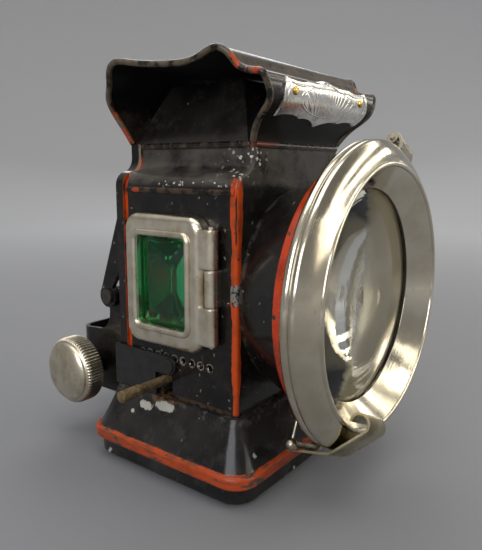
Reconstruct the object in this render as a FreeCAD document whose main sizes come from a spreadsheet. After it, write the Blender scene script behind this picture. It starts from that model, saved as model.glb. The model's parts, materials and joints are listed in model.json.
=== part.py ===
import FreeCAD, Part
import math
import os
import Sketcher
from FreeCAD import Placement, Rotation, Vector

# Bicycle oil headlamp: a sheet-metal lantern body on a slide-in oil font, with a hinged
# lens door in front, hinged jewel doors at the sides, a flared hood on top and a spring
# bracket behind. Millimetres, +Z up, the lens looks along -Y and the green jewel along -X.
# The origin is the middle of the font's bottom face.

SIZES = {
    # lantern body
    "body_width": 61.4,
    "front_face": 23.7,
    "seam_face": 18.6,
    "seam_groove": 2.0,
    "back_flange": 3.3,
    "back_lip": 3.0,
    "body_foot": 23.8,
    "shoulder_height": 87.8,
    "shoulder_rise": 8.5,
    "neck_width": 47.5,
    "neck_top": 100.6,
    "sheet": 0.8,
    "corner_round": 1.0,
    "bead_radius": 0.95,
    "bead_sink": 0.35,
    "seat_clearance": 0.05,
    "air_hole_radius": 1.05,
    "air_hole_pitch": 3.45,
    "air_hole_height": 36.5,
    # hood and flue
    "hood_overhang": 9.4,
    "hood_bulge_rise": 12.6,
    "hood_height": 22.6,
    "hood_ridge_inset": 1.6,
    "hood_dip": 1.8,
    "hood_flare": 11.8,
    "hood_back_bulge": 2.8,
    "hood_back_crown": 5.2,
    "hood_round": 2.0,
    "hood_ledge_share": 0.42,
    "hood_lean_share": 0.42,
    "hood_sheet": 0.9,
    "flue_height": 17.6,
    "flue_top_width": 30.0,
    "flue_top_depth": 28.0,
    "plate_length": 45.0,
    "plate_height": 12.6,
    "plate_centre": 11.0,
    "plate_sheet": 0.6,
    "plate_scallop": 1.5,
    "plate_end_share": 1.3,
    "plate_rivet_radius": 0.6,
    "plate_rivet_head": 1.15,
    "rivet_head_rise": 0.55,
    "rivet_crown_share": 0.8,
    "plate_rivet_span": 38.0,
    # lens door, all measured from the lens axis
    "lens_height": 57.2,
    "barrel_root_radius": 30.0,
    "barrel_mouth_radius": 36.0,
    "barrel_length": 16.0,
    "flange_radius": 38.0,
    "flange_bore": 34.6,
    "flange_thickness": 5.6,
    "flange_round": 0.7,
    "bezel_gap": 0.5,
    "bezel_radius": 44.2,
    "bezel_depth": 8.4,
    "bezel_bead_width": 2.2,
    "bezel_bead_rise": 0.6,
    "bezel_neck_reach": 4.6,
    "bezel_rim_radius": 38.3,
    "bezel_rim_round": 0.7,
    "bezel_band_round": 16.0,
    "bezel_sheet": 0.9,
    "bezel_cone_share": 1.45,
    "bezel_nose_share": 1.3,
    "aperture_radius": 30.9,
    "aperture_depth": 7.0,
    "lens_seat_radius": 33.0,
    "lens_clearance": 0.3,
    "lens_edge": 2.4,
    "lens_front_sag": 5.2,
    "lens_back_sag": 3.0,
    "lens_wire_radius": 0.55,
    "hinge_clock": 25.0,
    "hinge_arm": 48.0,
    "hinge_forward": 0.2,
    "hinge_barrel_radius": 1.7,
    "hinge_pin_radius": 0.8,
    "hinge_knuckle": 4.6,
    "hinge_end_knuckle": 2.2,
    "hinge_side_gap": 0.25,
    "running_clearance": 0.05,
    "hinge_plate": 1.0,
    # spring catch of the lens door
    "catch_sheet": 0.7,
    "catch_width": 12.0,
    "catch_clearance": 0.6,
    "catch_bend": 4.0,
    "catch_scroll_radius": 2.9,
    "catch_scroll_ahead": 2.0,
    "catch_scroll_inset": 3.0,
    "keeper_arm": 45.6,
    "keeper_radius": 0.8,
    "keeper_gap": 0.75,
    "keeper_ball_radius": 1.75,
    "keeper_leg_radius": 0.5,
    # jewel doors
    "jewel_height": 60.7,
    "jewel_offset": 0.8,
    "jewel_frame_width": 30.4,
    "jewel_frame_height": 39.4,
    "jewel_frame_depth": 4.5,
    "jewel_frame_corner": 5.0,
    "jewel_frame_round": 2.2,
    "jewel_frame_gap": 0.2,
    "window_width": 19.3,
    "window_height": 26.5,
    "window_corner": 1.2,
    "jewel_ledge": 1.6,
    "jewel_base": 1.8,
    "jewel_crown": 2.2,
    "jewel_bevel": 4.8,
    "retainer_sheet": 0.5,
    "jewel_barrel_radius": 2.0,
    "jewel_barrel_out": 2.3,
    "jewel_barrel_ahead": 2.2,
    "jewel_pin_radius": 0.8,
    "jewel_hinge_length": 32.5,
    "jewel_middle_knuckle": 10.3,
    # reflector
    "reflector_radius": 23.5,
    "reflector_depth": 6.5,
    "reflector_sheet": 0.6,
    "reflector_stud_radius": 3.0,
    "reflector_stud_length": 3.4,
    # oil font
    "font_rim_width": 79.0,
    "font_rim_depth": 64.2,
    "font_top_width": 64.6,
    "font_top_depth": 50.8,
    "font_bottom_width": 75.0,
    "font_bottom_depth": 60.6,
    "font_rim_low": 6.2,
    "font_rim_high": 10.6,
    "font_rim_corner": 7.5,
    "font_rim_round": 1.4,
    "font_rim_step": 1.0,
    "font_top_corner": 3.5,
    "font_waist": 0.6,
    "font_wall": 1.2,
    "font_bottom_round": 1.6,
    # clip that holds the font to the body
    "clip_sheet": 0.9,
    "clip_side_gap": 0.4,
    "clip_height": 13.4,
    "clip_nose_radius": 2.9,
    "clip_nose_tip": 1.3,
    "clip_notch": 7.0,
    "clip_button_radius": 2.3,
    "clip_button_height": 0.6,
    # burner
    "collar_radius": 9.6,
    "collar_flange": 2.0,
    "collar_bore": 8.5,
    "collar_depth": 3.0,
    "burner_plate": 1.0,
    "wick_width": 13.0,
    "wick_thickness": 2.2,
    "wick_low": 9.0,
    "wick_high": 50.0,
    "tube_wall": 0.6,
    "tube_clearance": 0.3,
    "tube_low": 16.0,
    "tube_high": 47.5,
    "spindle_radius": 1.45,
    "spindle_height": 29.6,
    "spindle_back": 3.0,
    "spindle_out": 49.5,
    "spindle_in": 11.5,
    "spindle_grip_length": 7.0,
    "spindle_grip_radius": 1.7,
    "spindle_slot_gap": 0.5,
    "bearing_span": 18.0,
    "bearing_sheet": 1.2,
    "bearing_wall": 1.15,
    "wheel_radius": 3.3,
    "wheel_tooth": 0.5,
    "wheel_gap": 0.2,
    "wheel_length": 7.0,
    # hanger and bracket
    "hanger_half_width": 23.8,
    "hanger_sheet": 1.6,
    "hanger_top": 92.0,
    "hanger_low": 71.0,
    "hanger_lean": 2.7,
    "hanger_shoulder": 5.8,
    "hanger_shoulder_rise": 7.4,
    "pivot_back": 38.0,
    "pivot_height": 49.5,
    "pivot_radius": 1.5,
    "pivot_eye": 3.9,
    "pivot_head_radius": 2.6,
    "pivot_head_height": 1.0,
    "hanger_rivet_radius": 1.0,
    "hanger_rivet_head": 2.0,
    "hanger_rivet_inset": 5.0,
    "cradle_gap": 0.4,
    "cradle_sheet": 1.4,
    "cradle_front": 30.0,
    "cradle_back": 58.0,
    "cradle_corner": 7.0,
    "cradle_low": 14.0,
    "cradle_mouth": 35.0,
    "cradle_neck": 39.6,
    "cradle_neck_height": 43.0,
    "cradle_scoop": 7.4,
    "cradle_mouth_slope": 1.2,
    "cradle_web_top": 45.0,
    "clamp_back": 46.6,
    "clamp_height": 23.6,
    "clamp_screw_radius": 2.0,
    "clamp_boss_radius": 4.0,
    "clamp_boss_length": 4.0,
    "clamp_pad_radius": 4.6,
    "clamp_pad_sheet": 2.2,
    "clamp_pad_reach": 3.4,
    "clamp_nose_radius": 1.3,
    "clamp_nose_length": 1.2,
    "knob_radius": 11.6,
    "knob_thickness": 7.4,
    "knob_round": 0.9,
    "knob_dome_radius": 6.8,
    "knob_dome_rise": 1.9,
    "knob_gap": 2.4,
}


class Size:
    """A length that carries its number and the spreadsheet expression that gives it."""

    def __init__(self, value, text):
        self.value = value
        self.text = text

    def __add__(self, other):
        other = as_size(other)
        return Size(self.value + other.value, f"({self.text} + {other.text})")

    def __sub__(self, other):
        other = as_size(other)
        return Size(self.value - other.value, f"({self.text} - {other.text})")

    def __mul__(self, other):
        other = as_size(other)
        return Size(self.value * other.value, f"({self.text} * {other.text})")

    def __truediv__(self, other):
        other = as_size(other)
        return Size(self.value / other.value, f"({self.text} / {other.text})")

    def __neg__(self):
        return Size(-self.value, f"(0 - {self.text})")

    def __rsub__(self, other):
        return as_size(other) - self

    __radd__ = __add__
    __rmul__ = __mul__


def as_size(thing):
    """Return a Size as it is, and wrap a bare number."""
    if isinstance(thing, Size):
        return thing
    return Size(float(thing), f"({float(thing):.9f})")


class Names:
    """Holds one Size for each cell of the spreadsheet."""


doc = FreeCAD.newDocument("bicycle_oil_lamp")
sheet = doc.addObject("Spreadsheet::Sheet", "sizes")
size = Names()
for row, (alias, number) in enumerate(SIZES.items(), start=1):
    sheet.set(f"A{row}", alias)
    sheet.set(f"B{row}", str(number))
    sheet.setAlias(f"B{row}", alias)
    setattr(size, alias, Size(number, f"sizes.{alias}"))
doc.recompute()

LEFT = 1
RIGHT = -1
WHEEL_TEETH = 12
AIR_HOLES = 9
CATCH_SLOPE = 44.0
HANGER_SLOPE = 37.0
NODES = []


# Sketch and feature helpers

class Arc:
    """Marks a corner whose edge to the next corner is an arc that turns LEFT or RIGHT."""

    def __init__(self, radius, turn):
        self.radius = as_size(radius)
        self.turn = turn


class Circle:
    """A full circle in a sketch."""

    def __init__(self, x, y, radius):
        self.x = as_size(x)
        self.y = as_size(y)
        self.radius = as_size(radius)


def bind(sketch, kind, items, length):
    """Add one dimension to a sketch and tie it to the spreadsheet."""
    index = sketch.addConstraint(Sketcher.Constraint(kind, *items, length.value))
    name = f"d{index}"
    sketch.renameConstraint(index, name)
    sketch.setExpression(f"Constraints.{name}", length.text)


def arc_between(start, end, arc):
    """Return the sketch arc from start to end, and the ends in the order the sketch keeps."""
    chord = end - start
    half = chord.Length / 2
    rise = math.sqrt(max(arc.radius.value ** 2 - half ** 2, 0.0))
    left = Vector(-chord.y, chord.x, 0).normalize()
    centre = (start + end) / 2 + left * rise * arc.turn
    first, last = (start, end) if arc.turn == LEFT else (end, start)
    angles = [math.atan2(p.y - centre.y, p.x - centre.x) for p in (first, last)]
    circle = Part.Circle(centre, Vector(0, 0, 1), arc.radius.value)
    ends = (1, 2) if arc.turn == LEFT else (2, 1)
    return Part.ArcOfCircle(circle, angles[0], angles[1]), ends


def draw_outline(sketch, corners):
    """Draw one closed loop of lines and arcs with every corner tied to the spreadsheet."""
    points = [(as_size(c[0]), as_size(c[1])) for c in corners]
    places = [Vector(x.value, y.value, 0) for x, y in points]
    count = len(corners)
    edges = []
    for k, corner in enumerate(corners):
        start = places[k]
        end = places[(k + 1) % count]
        if len(corner) == 3:
            curve, ends = arc_between(start, end, corner[2])
        else:
            curve, ends = Part.LineSegment(start, end), (1, 2)
        edges.append((sketch.addGeometry(curve, False), ends))
    for k in range(count):
        here, ends = edges[k]
        after, after_ends = edges[(k + 1) % count]
        sketch.addConstraint(Sketcher.Constraint("Coincident", here, ends[1], after, after_ends[0]))
    for k, (x, y) in enumerate(points):
        edge, ends = edges[k]
        bind(sketch, "DistanceX", (-1, 1, edge, ends[0]), x)
        bind(sketch, "DistanceY", (-1, 1, edge, ends[0]), y)
        if len(corners[k]) == 3:
            bind(sketch, "Radius", (edge,), corners[k][2].radius)


def draw_circle(sketch, circle):
    """Draw a circle with its centre and radius tied to the spreadsheet."""
    middle = Vector(circle.x.value, circle.y.value, 0)
    edge = sketch.addGeometry(Part.Circle(middle, Vector(0, 0, 1), circle.radius.value), False)
    bind(sketch, "DistanceX", (-1, 1, edge, 3), circle.x)
    bind(sketch, "DistanceY", (-1, 1, edge, 3), circle.y)
    bind(sketch, "Radius", (edge,), circle.radius)


def new_body(label):
    """Start a sub-part."""
    body = doc.addObject("PartDesign::Body", label)
    body.Label = label
    NODES.append(body)
    return body


def attach(feature, body, plane):
    """Lay a sketch or a primitive on one of the body's own planes."""
    origin_plane = next(f for f in body.Origin.OriginFeatures if f.Role == plane)
    feature.AttachmentSupport = [(origin_plane, "")]
    feature.MapMode = "FlatFace"


def sketch_on(body, plane, start, *loops):
    """Sketch closed loops on one of the body's own planes, moved along its normal by start."""
    sketch = body.newObject("Sketcher::SketchObject", f"{body.Label}_sketch")
    attach(sketch, body, plane)
    sketch.setExpression("AttachmentOffset.Base.z", as_size(start).text)
    for loop in loops:
        if isinstance(loop, Circle):
            draw_circle(sketch, loop)
        else:
            draw_outline(sketch, loop)
    return sketch


def pad(body, plane, start, length, *loops):
    """Raise loops along the plane's normal from start."""
    feature = body.newObject("PartDesign::Pad", f"{body.Label}_pad")
    feature.Profile = sketch_on(body, plane, start, *loops)
    feature.setExpression("Length", as_size(length).text)
    body.Tip = feature
    return feature


def cut(body, plane, start, length, *loops):
    """Cut loops away along the plane's normal from start."""
    doc.recompute()
    before = body.Shape.Volume
    feature = body.newObject("PartDesign::Pocket", f"{body.Label}_cut")
    feature.Profile = sketch_on(body, plane, start, *loops)
    feature.Reversed = True
    feature.setExpression("Length", as_size(length).text)
    body.Tip = feature
    doc.recompute()
    if body.Shape.Volume >= before:
        raise ValueError(f"a cut in {body.Label} removes nothing")
    return feature


def turn(body, plane, axis, *loops):
    """Turn loops full circle about a sketch axis, H_Axis or V_Axis."""
    feature = body.newObject("PartDesign::Revolution", f"{body.Label}_turn")
    sketch = sketch_on(body, plane, 0, *loops)
    feature.Profile = sketch
    feature.ReferenceAxis = (sketch, [axis])
    feature.Angle = 360
    body.Tip = feature
    return feature


def loft(body, kind, plane, sections, ruled=False):
    """Carry a solid, or a hollow, through parallel outlines given as (distance, outline)."""
    feature = body.newObject(f"PartDesign::{kind}Loft", f"{body.Label}_loft")
    sketches = [sketch_on(body, plane, height, outline) for height, outline in sections]
    feature.Profile = sketches[0]
    feature.Sections = sketches[1:]
    feature.Ruled = ruled
    body.Tip = feature
    return feature


def soften(body, radius, wanted):
    """Round the edges of the body for which wanted(edge) is true."""
    doc.recompute()
    base = body.Tip
    names = [f"Edge{k}" for k, edge in enumerate(base.Shape.Edges, start=1) if wanted(edge)]
    feature = body.newObject("PartDesign::Fillet", f"{body.Label}_round")
    feature.Base = (base, names)
    feature.setExpression("Radius", as_size(radius).text)
    body.Tip = feature
    return feature


def add_ball(body, plane, x, y, z, radius):
    """Add a ball at a place given in the axes of one of the body's planes."""
    ball = body.newObject("PartDesign::AdditiveSphere", f"{body.Label}_ball")
    attach(ball, body, plane)
    for axis, length in zip("xyz", (x, y, z)):
        ball.setExpression(f"AttachmentOffset.Base.{axis}", as_size(length).text)
    ball.setExpression("Radius", as_size(radius).text)
    body.Tip = ball


def place(body, x=0, y=0, z=0, clock=None):
    """Set a sub-part's place, and turn it about the Y axis to a clock angle."""
    body.Placement = Placement(Vector(0, 0, 0), Rotation(Vector(0, 1, 0), 1))
    for axis, length in (("x", x), ("y", y), ("z", z)):
        body.setExpression(f"Placement.Base.{axis}", as_size(length).text)
    body.setExpression("Placement.Rotation.Angle", as_size(0 if clock is None else clock).text)


def block(x_low, x_high, y_low, y_high):
    """A rectangle given by its sides."""
    return [(x_low, y_low), (x_high, y_low), (x_high, y_high), (x_low, y_high)]


def rounded(x_low, x_high, y_low, y_high, radius):
    """A rectangle with round corners."""
    bend = Arc(radius, LEFT)
    return [
        (x_low + radius, y_low), (x_high - radius, y_low, bend),
        (x_high, y_low + radius), (x_high, y_high - radius, bend),
        (x_high - radius, y_high), (x_low + radius, y_high, bend),
        (x_low, y_high - radius), (x_low, y_low + radius, bend),
    ]


def centred(width, depth, radius):
    """A round-cornered rectangle about the origin."""
    return rounded(-width / 2, width / 2, -depth / 2, depth / 2, radius)


# Shared places

half_width = size.body_width / 2
half_neck = size.neck_width / 2
back_edge = size.seam_face + size.seam_groove
back_face = back_edge + size.back_flange
flange_back = size.front_face + size.barrel_length
flange_front = flange_back + size.flange_thickness
bezel_back = flange_front + size.bezel_gap
bezel_front = bezel_back + size.bezel_depth
lens_radius = size.lens_seat_radius - size.lens_clearance
spindle_y = size.spindle_back
wick_back = spindle_y - size.wheel_radius - size.wheel_gap
wick_front = wick_back - size.wick_thickness
tube_inside_back = wick_back + size.tube_clearance
tube_inside_front = wick_front - size.tube_clearance
tube_half = size.wick_width / 2 + size.tube_clearance
PAST = 2.0


# Lantern body

def body_outline(inset, foot, top):
    """The body seen from the front: straight sides, an ogee shoulder and a narrow neck."""
    half = half_width - inset
    neck = half_neck - inset
    low = size.shoulder_height - inset
    high = low + size.shoulder_rise
    step = half - neck
    bend = (step * step + size.shoulder_rise * size.shoulder_rise) / (step * 4)
    middle = (half + neck) / 2
    centre = (low + high) / 2
    return [
        (-half, foot), (half, foot),
        (half, low, Arc(bend, LEFT)), (middle, centre, Arc(bend, RIGHT)),
        (neck, high), (neck, top), (-neck, top),
        (-neck, high, Arc(bend, RIGHT)), (-middle, centre, Arc(bend, LEFT)),
        (-half, low),
    ]


def make_body_shell():
    """The wrapped sheet: front and two sides in one piece, open below, above and behind."""
    body = new_body("body_shell")
    depth = size.front_face + size.seam_face
    pad(body, "XZ_Plane", -size.seam_face, depth, body_outline(0, size.body_foot, size.neck_top))
    front = -size.front_face.value
    low, high = size.body_foot.value, size.neck_top.value

    def is_front_corner(edge):
        box = edge.BoundBox
        flat = abs(box.YMin - front) < 1e-6 and abs(box.YMax - front) < 1e-6
        level = box.ZLength < 1e-6
        return flat and not level and box.ZMin > low - 1 and box.ZMax < high + 1

    soften(body, size.corner_round, is_front_corner)
    ridge = size.bead_radius
    for flank in (-1, 1):
        edge = (half_width - size.bead_sink) * flank
        pad(body, "XZ_Plane", -size.seam_face, depth - size.corner_round,
            Circle(edge, size.shoulder_height - ridge, ridge))
        neck_edge = (half_neck - size.bead_sink) * flank
        pad(body, "XZ_Plane", -size.seam_face, depth - size.corner_round,
            Circle(neck_edge, size.neck_top - ridge, ridge))
    pad(body, "YZ_Plane", size.corner_round - half_neck, (half_neck - size.corner_round) * 2,
        Circle(size.bead_sink - size.front_face, size.neck_top - ridge, ridge))
    inside = body_outline(size.sheet, size.body_foot - PAST, size.neck_top + PAST)
    cut(body, "XZ_Plane", -size.seam_face - PAST, depth + PAST - size.sheet, inside)
    barrel_hole = Circle(0, size.lens_height, size.barrel_root_radius - size.sheet * 2)
    cut(body, "XZ_Plane", size.front_face - PAST, PAST * 2, barrel_hole)
    side = half_width + PAST
    wide = size.window_width / 2 - size.jewel_ledge
    tall = size.window_height / 2 - size.jewel_ledge
    window = block(size.jewel_offset - wide, size.jewel_offset + wide,
                   size.jewel_height - tall, size.jewel_height + tall)
    middle = (AIR_HOLES - 1) / 2
    holes = [Circle(size.air_hole_pitch * (k - middle), size.air_hole_height, size.air_hole_radius)
             for k in range(AIR_HOLES)]
    cut(body, "YZ_Plane", -side, side * 2, window, *holes)
    slot = size.spindle_radius + size.spindle_slot_gap
    top = size.spindle_height
    notch = [(spindle_y - slot, size.body_foot - PAST), (spindle_y + slot, size.body_foot - PAST),
             (spindle_y + slot, top, Arc(slot, LEFT)), (spindle_y, top + slot, Arc(slot, LEFT)),
             (spindle_y - slot, top)]
    cut(body, "YZ_Plane", -side, PAST * 2, notch)


def hanger_rivet_circles(clearance):
    """The four rivet shanks that hold the hanger to the back plate."""
    across = size.hanger_half_width - size.hanger_sheet - size.hanger_rivet_inset
    levels = (size.hanger_low + size.hanger_rivet_inset, size.hanger_top - size.hanger_rivet_inset)
    radius = size.hanger_rivet_radius + clearance
    return [Circle(across * side, level, radius) for side in (-1, 1) for level in levels]


def make_back_plate():
    """The back: a shallow tray whose narrow lip plugs into the wrapped sheet."""
    body = new_body("back_plate")
    pad(body, "XZ_Plane", -back_face, size.back_flange, body_outline(0, size.body_foot, size.neck_top))
    plug = size.sheet + size.seat_clearance
    inside = plug + size.sheet
    floor = size.body_foot + size.sheet * 2
    tray = body_outline(inside, floor, size.neck_top + PAST)
    cut(body, "XZ_Plane", size.sheet - back_face, size.back_flange, tray)
    ring = body_outline(plug, size.body_foot + size.sheet, size.neck_top - size.sheet)
    hole = body_outline(inside, floor, size.neck_top - size.sheet * 2)
    pad(body, "XZ_Plane", -back_edge, size.seam_groove + size.back_lip, ring, hole)
    cut(body, "XZ_Plane", -back_face - PAST, size.sheet + PAST, *hanger_rivet_circles(size.seat_clearance))


def make_barrel():
    """The short cone that carries the lens door out from the front of the body."""
    body = new_body("front_barrel")
    wall = size.sheet
    turn(body, "YZ_Plane", "H_Axis", [
        (-size.front_face, size.barrel_root_radius),
        (-flange_back, size.barrel_mouth_radius),
        (-flange_back, size.barrel_mouth_radius - wall),
        (-size.front_face, size.barrel_root_radius - wall),
    ])
    place(body, z=size.lens_height)


def make_flange():
    """The painted ring round the barrel's mouth, which the lens door shuts against."""
    body = new_body("front_flange")
    bend = Arc(size.flange_round, RIGHT)
    edge = size.flange_radius - size.flange_round
    turn(body, "YZ_Plane", "H_Axis", [
        (-flange_back, size.flange_bore), (-flange_front, size.flange_bore),
        (-flange_front, edge, bend), (size.flange_round - flange_front, size.flange_radius),
        (-flange_back - size.flange_round, size.flange_radius, bend), (-flange_back, edge),
    ])
    place(body, z=size.lens_height)


def hood_points():
    """The hood's section from the front foot over the roof to the back foot, as (y, z)."""
    front = -SIZES["front_face"]
    back = back_face.value
    foot = SIZES["neck_top"]
    rise = SIZES["hood_bulge_rise"]
    round_off = SIZES["hood_round"]
    dip = SIZES["hood_dip"]
    roof = foot + SIZES["hood_height"]
    bulge = front - SIZES["hood_overhang"]
    widest = foot + rise
    ridge = front + SIZES["hood_ridge_inset"]
    ledge = (roof - widest) * SIZES["hood_ledge_share"]
    lean = SIZES["hood_lean_share"]
    back_bulge = SIZES["hood_back_bulge"]
    back_crown = back - SIZES["hood_back_crown"]
    span = back_crown - ridge
    return [
        (front, foot),
        (front + (bulge - front) * lean, foot + rise * lean),
        (bulge + round_off / 4, widest - round_off * 1.3),
        (bulge, widest),
        (bulge + round_off / 2, widest + ledge * 0.85),
        (bulge + round_off * 1.8, widest + ledge),
        (ridge - round_off * 1.5, widest + ledge * 1.45),
        (ridge - round_off * 0.8, roof - round_off * 0.85),
        (ridge + round_off / 2, roof),
        (ridge + span / 5, roof - dip * 0.65),
        (ridge + span / 2, roof - dip),
        (ridge + span * 0.83, roof - dip * 0.15),
        (back_crown, roof),
        (back_crown + round_off * 1.5, roof - round_off),
        (back, widest + round_off * 2.3),
        (back + back_bulge, widest + round_off * 0.4),
        (back + back_bulge / 2, foot + rise * 0.4),
        (back, foot),
    ]


def hood_skin(name, half_length):
    """A curved face along the hood's section, reaching half_length to each side."""
    curve = Part.BSplineCurve()
    curve.interpolate([Vector(0, y, z) for y, z in hood_points()])
    path = doc.addObject("Part::Feature", f"{name}_section")
    path.Shape = Part.Wire([curve.toShape()])
    skin = doc.addObject("Part::Extrusion", f"{name}_skin")
    skin.Base = path
    skin.DirMode = "Custom"
    skin.Dir = Vector(1, 0, 0)
    skin.Symmetric = True
    skin.setExpression("LengthFwd", (half_length * 2).text)
    skin.Solid = False
    return skin


def thicken(name, skin, wall):
    """Turn a face into sheet metal of the given wall; a minus sign puts it inside."""
    solid = doc.addObject("Part::Offset", name)
    solid.Source = skin
    solid.setExpression("Value", wall.text)
    solid.Fill = True
    return solid


def make_hood():
    """The flared hood: sheet pressed to a waved section, its open ends sloping outward."""
    reach = half_neck + size.hood_flare
    solid = thicken("hood_sheet_metal", hood_skin("hood", reach + PAST), -size.hood_sheet)
    ends = doc.addObject("PartDesign::Body", "hood_ends")
    roof = size.neck_top + size.hood_height
    past = reach * 2
    steep = size.hood_flare / size.hood_height
    for side in (-1, 1):
        pad(ends, "XZ_Plane", -past, past * 2, [
            (half_neck * side - steep * PAST * side, size.neck_top - PAST),
            (past * side, size.neck_top - PAST),
            (past * side, roof + PAST),
            (reach * side + steep * PAST * side, roof + PAST),
        ])
    bulge = size.front_face + size.hood_overhang
    pad(ends, "XZ_Plane", bulge - PAST * 2, PAST * 3, *plate_rivet_circles(size.seat_clearance))
    hood = doc.addObject("Part::Cut", "hood")
    hood.Base = solid
    hood.Tool = ends
    hood.Label = "hood"
    NODES.append(hood)


def make_flue():
    """The tapered chimney inside the hood, which keeps wind off the flame."""
    body = new_body("flue")
    low = size.neck_top
    high = low + size.flue_height
    bottom_depth = (size.front_face - size.hood_sheet * 2) * 2

    def levels(wall):
        return [(height, block(wall - width / 2, width / 2 - wall, wall - depth / 2, depth / 2 - wall))
                for height, width, depth in (
                    (low, size.neck_width, bottom_depth), (high, size.flue_top_width, size.flue_top_depth))]

    loft(body, "Additive", "XY_Plane", levels(0))
    loft(body, "Subtractive", "XY_Plane", levels(size.sheet))


def plate_outline():
    """A cartouche: straight sides broken by shallow scallops that meet in points."""
    reach = size.plate_length / 2
    tall = size.plate_height / 2
    middle = size.neck_top + size.plate_centre
    dip = size.plate_scallop
    quarter = reach / 2
    bend = Arc((quarter * quarter + dip * dip * 4) / (dip * 4), RIGHT)
    end = Arc(tall * size.plate_end_share, LEFT)
    low = middle - tall
    high = middle + tall
    return [
        (-reach, low + dip, bend), (-quarter, low + dip, bend), (0, low, bend),
        (quarter, low + dip, bend), (reach, low + dip, end),
        (reach, high - dip, bend), (quarter, high - dip, bend), (0, high, bend),
        (-quarter, high - dip, bend), (-reach, high - dip, end),
    ]


def plate_rivet_circles(clearance):
    """The two rivet shanks through the name plate, at the height where the hood bulges most."""
    height = size.neck_top + size.hood_bulge_rise
    radius = size.plate_rivet_radius + clearance
    return [Circle(size.plate_rivet_span / 2 * side, height, radius) for side in (-1, 1)]


def add_heads(body, start, radius, shanks):
    """Put a round-edged rivet head on each shank, standing forward from start."""
    rise = radius * size.rivet_head_rise
    pad(body, "XZ_Plane", start, rise, *[Circle(shank.x, shank.y, radius) for shank in shanks])
    round_top(body, -(start + rise).value, rise)


def round_top(body, top, rise):
    """Round the edge of every rivet head that ends at y = top."""
    soften(body, rise * size.rivet_crown_share, lambda edge: abs(edge.BoundBox.YMin - top) < 1e-6)


def make_name_plate():
    """A bare cartouche plate, bent to the hood's front, and the two rivets that hold it."""
    skin = hood_skin("plate", half_neck + size.hood_flare)
    sheet_metal = thicken("plate_sheet_metal", skin, size.plate_sheet)
    outline = doc.addObject("PartDesign::Body", "plate_outline")
    ahead = size.front_face + size.hood_overhang + size.plate_sheet + PAST
    pad(outline, "XZ_Plane", size.front_face - PAST, ahead - size.front_face + PAST,
        plate_outline(), *plate_rivet_circles(size.seat_clearance))
    plate = doc.addObject("Part::Common", "name_plate")
    plate.Base = sheet_metal
    plate.Tool = outline
    plate.Label = "name_plate"
    NODES.append(plate)
    rivets = new_body("name_plate_rivets")
    face = size.front_face + size.hood_overhang + size.plate_sheet
    shank = size.plate_sheet + size.hood_sheet * 2
    shanks = plate_rivet_circles(0)
    pad(rivets, "XZ_Plane", face - shank, shank, *shanks)
    add_heads(rivets, face, size.plate_rivet_head, shanks)


# Lens door

def make_bezel():
    """The spun bezel: two beads, a convex band, the front rim and the dished cone inside it."""
    body = new_body("bezel")
    wall = size.bezel_sheet
    lip = bezel_front - size.aperture_depth
    seat = lip - wall
    wide = size.bezel_bead_width
    rise = size.bezel_bead_rise
    foot = size.bezel_radius - rise
    groove = bezel_back + wide
    band_start = groove + wide
    bead = Arc((wide * wide / 4 + rise * rise) / (rise * 2), LEFT)
    band = Arc(size.bezel_band_round, LEFT)
    inner_band = Arc(size.bezel_band_round - wall, RIGHT)
    rim = Arc(size.bezel_rim_round, LEFT)
    nose = bezel_front - size.bezel_rim_round
    rim_inside = size.bezel_rim_radius - size.bezel_rim_round * 2
    cone = (nose - lip) / (rim_inside - size.aperture_radius)
    neck = size.lens_seat_radius + wall
    neck_back = bezel_back - size.bezel_neck_reach
    cone_back = lip + (neck - size.aperture_radius) * cone - wall * size.bezel_cone_share
    turn(body, "YZ_Plane", "H_Axis", [
        (-bezel_back, foot, bead),
        (-groove, foot, bead),
        (-band_start, foot, band),
        (-nose, size.bezel_rim_radius, rim),
        (-nose, rim_inside),
        (-lip, size.aperture_radius),
        (-seat, size.aperture_radius),
        (-seat, size.lens_seat_radius),
        (-neck_back, size.lens_seat_radius),
        (-neck_back, neck),
        (-cone_back, neck),
        (wall - nose, size.bezel_rim_radius - wall * size.bezel_nose_share, inner_band),
        (wall - band_start, foot - wall),
        (-bezel_back, foot - wall),
    ])
    place(body, z=size.lens_height)


def lens_faces():
    """The lens edge's front and back, as distances ahead of the lamp's middle plane."""
    radius = lens_radius
    lip = size.aperture_radius
    bulge = size.lens_front_sag * (radius * radius - lip * lip) / (radius * radius)
    seat = bezel_front - size.aperture_depth - size.bezel_sheet
    front = seat - bulge - size.lens_clearance
    return front, front - size.lens_edge


def make_lens():
    """A thick clear lens, domed on both faces, behind the bezel's lip."""
    body = new_body("lens")
    front, back = lens_faces()
    radius = lens_radius

    def dome(sag):
        return (radius * radius + sag * sag) / (sag * 2)

    turn(body, "YZ_Plane", "H_Axis", [
        (-front - size.lens_front_sag, 0, Arc(dome(size.lens_front_sag), RIGHT)),
        (-front, radius),
        (-back, radius, Arc(dome(size.lens_back_sag), RIGHT)),
        (size.lens_back_sag - back, 0),
    ])
    place(body, z=size.lens_height)


def make_lens_ring():
    """The spring wire that keeps the lens in its seat."""
    body = new_body("lens_ring")
    _, back = lens_faces()
    wire = size.lens_wire_radius
    middle = size.lens_seat_radius - wire - size.seat_clearance
    turn(body, "YZ_Plane", "H_Axis", Circle(wire + size.lens_clearance - back, middle, wire))
    place(body, z=size.lens_height)


def hinge_axis():
    """The lens door's hinge axis in its own clock position, as (y, height over the lens axis)."""
    return -bezel_back - size.hinge_forward, size.hinge_arm


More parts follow.
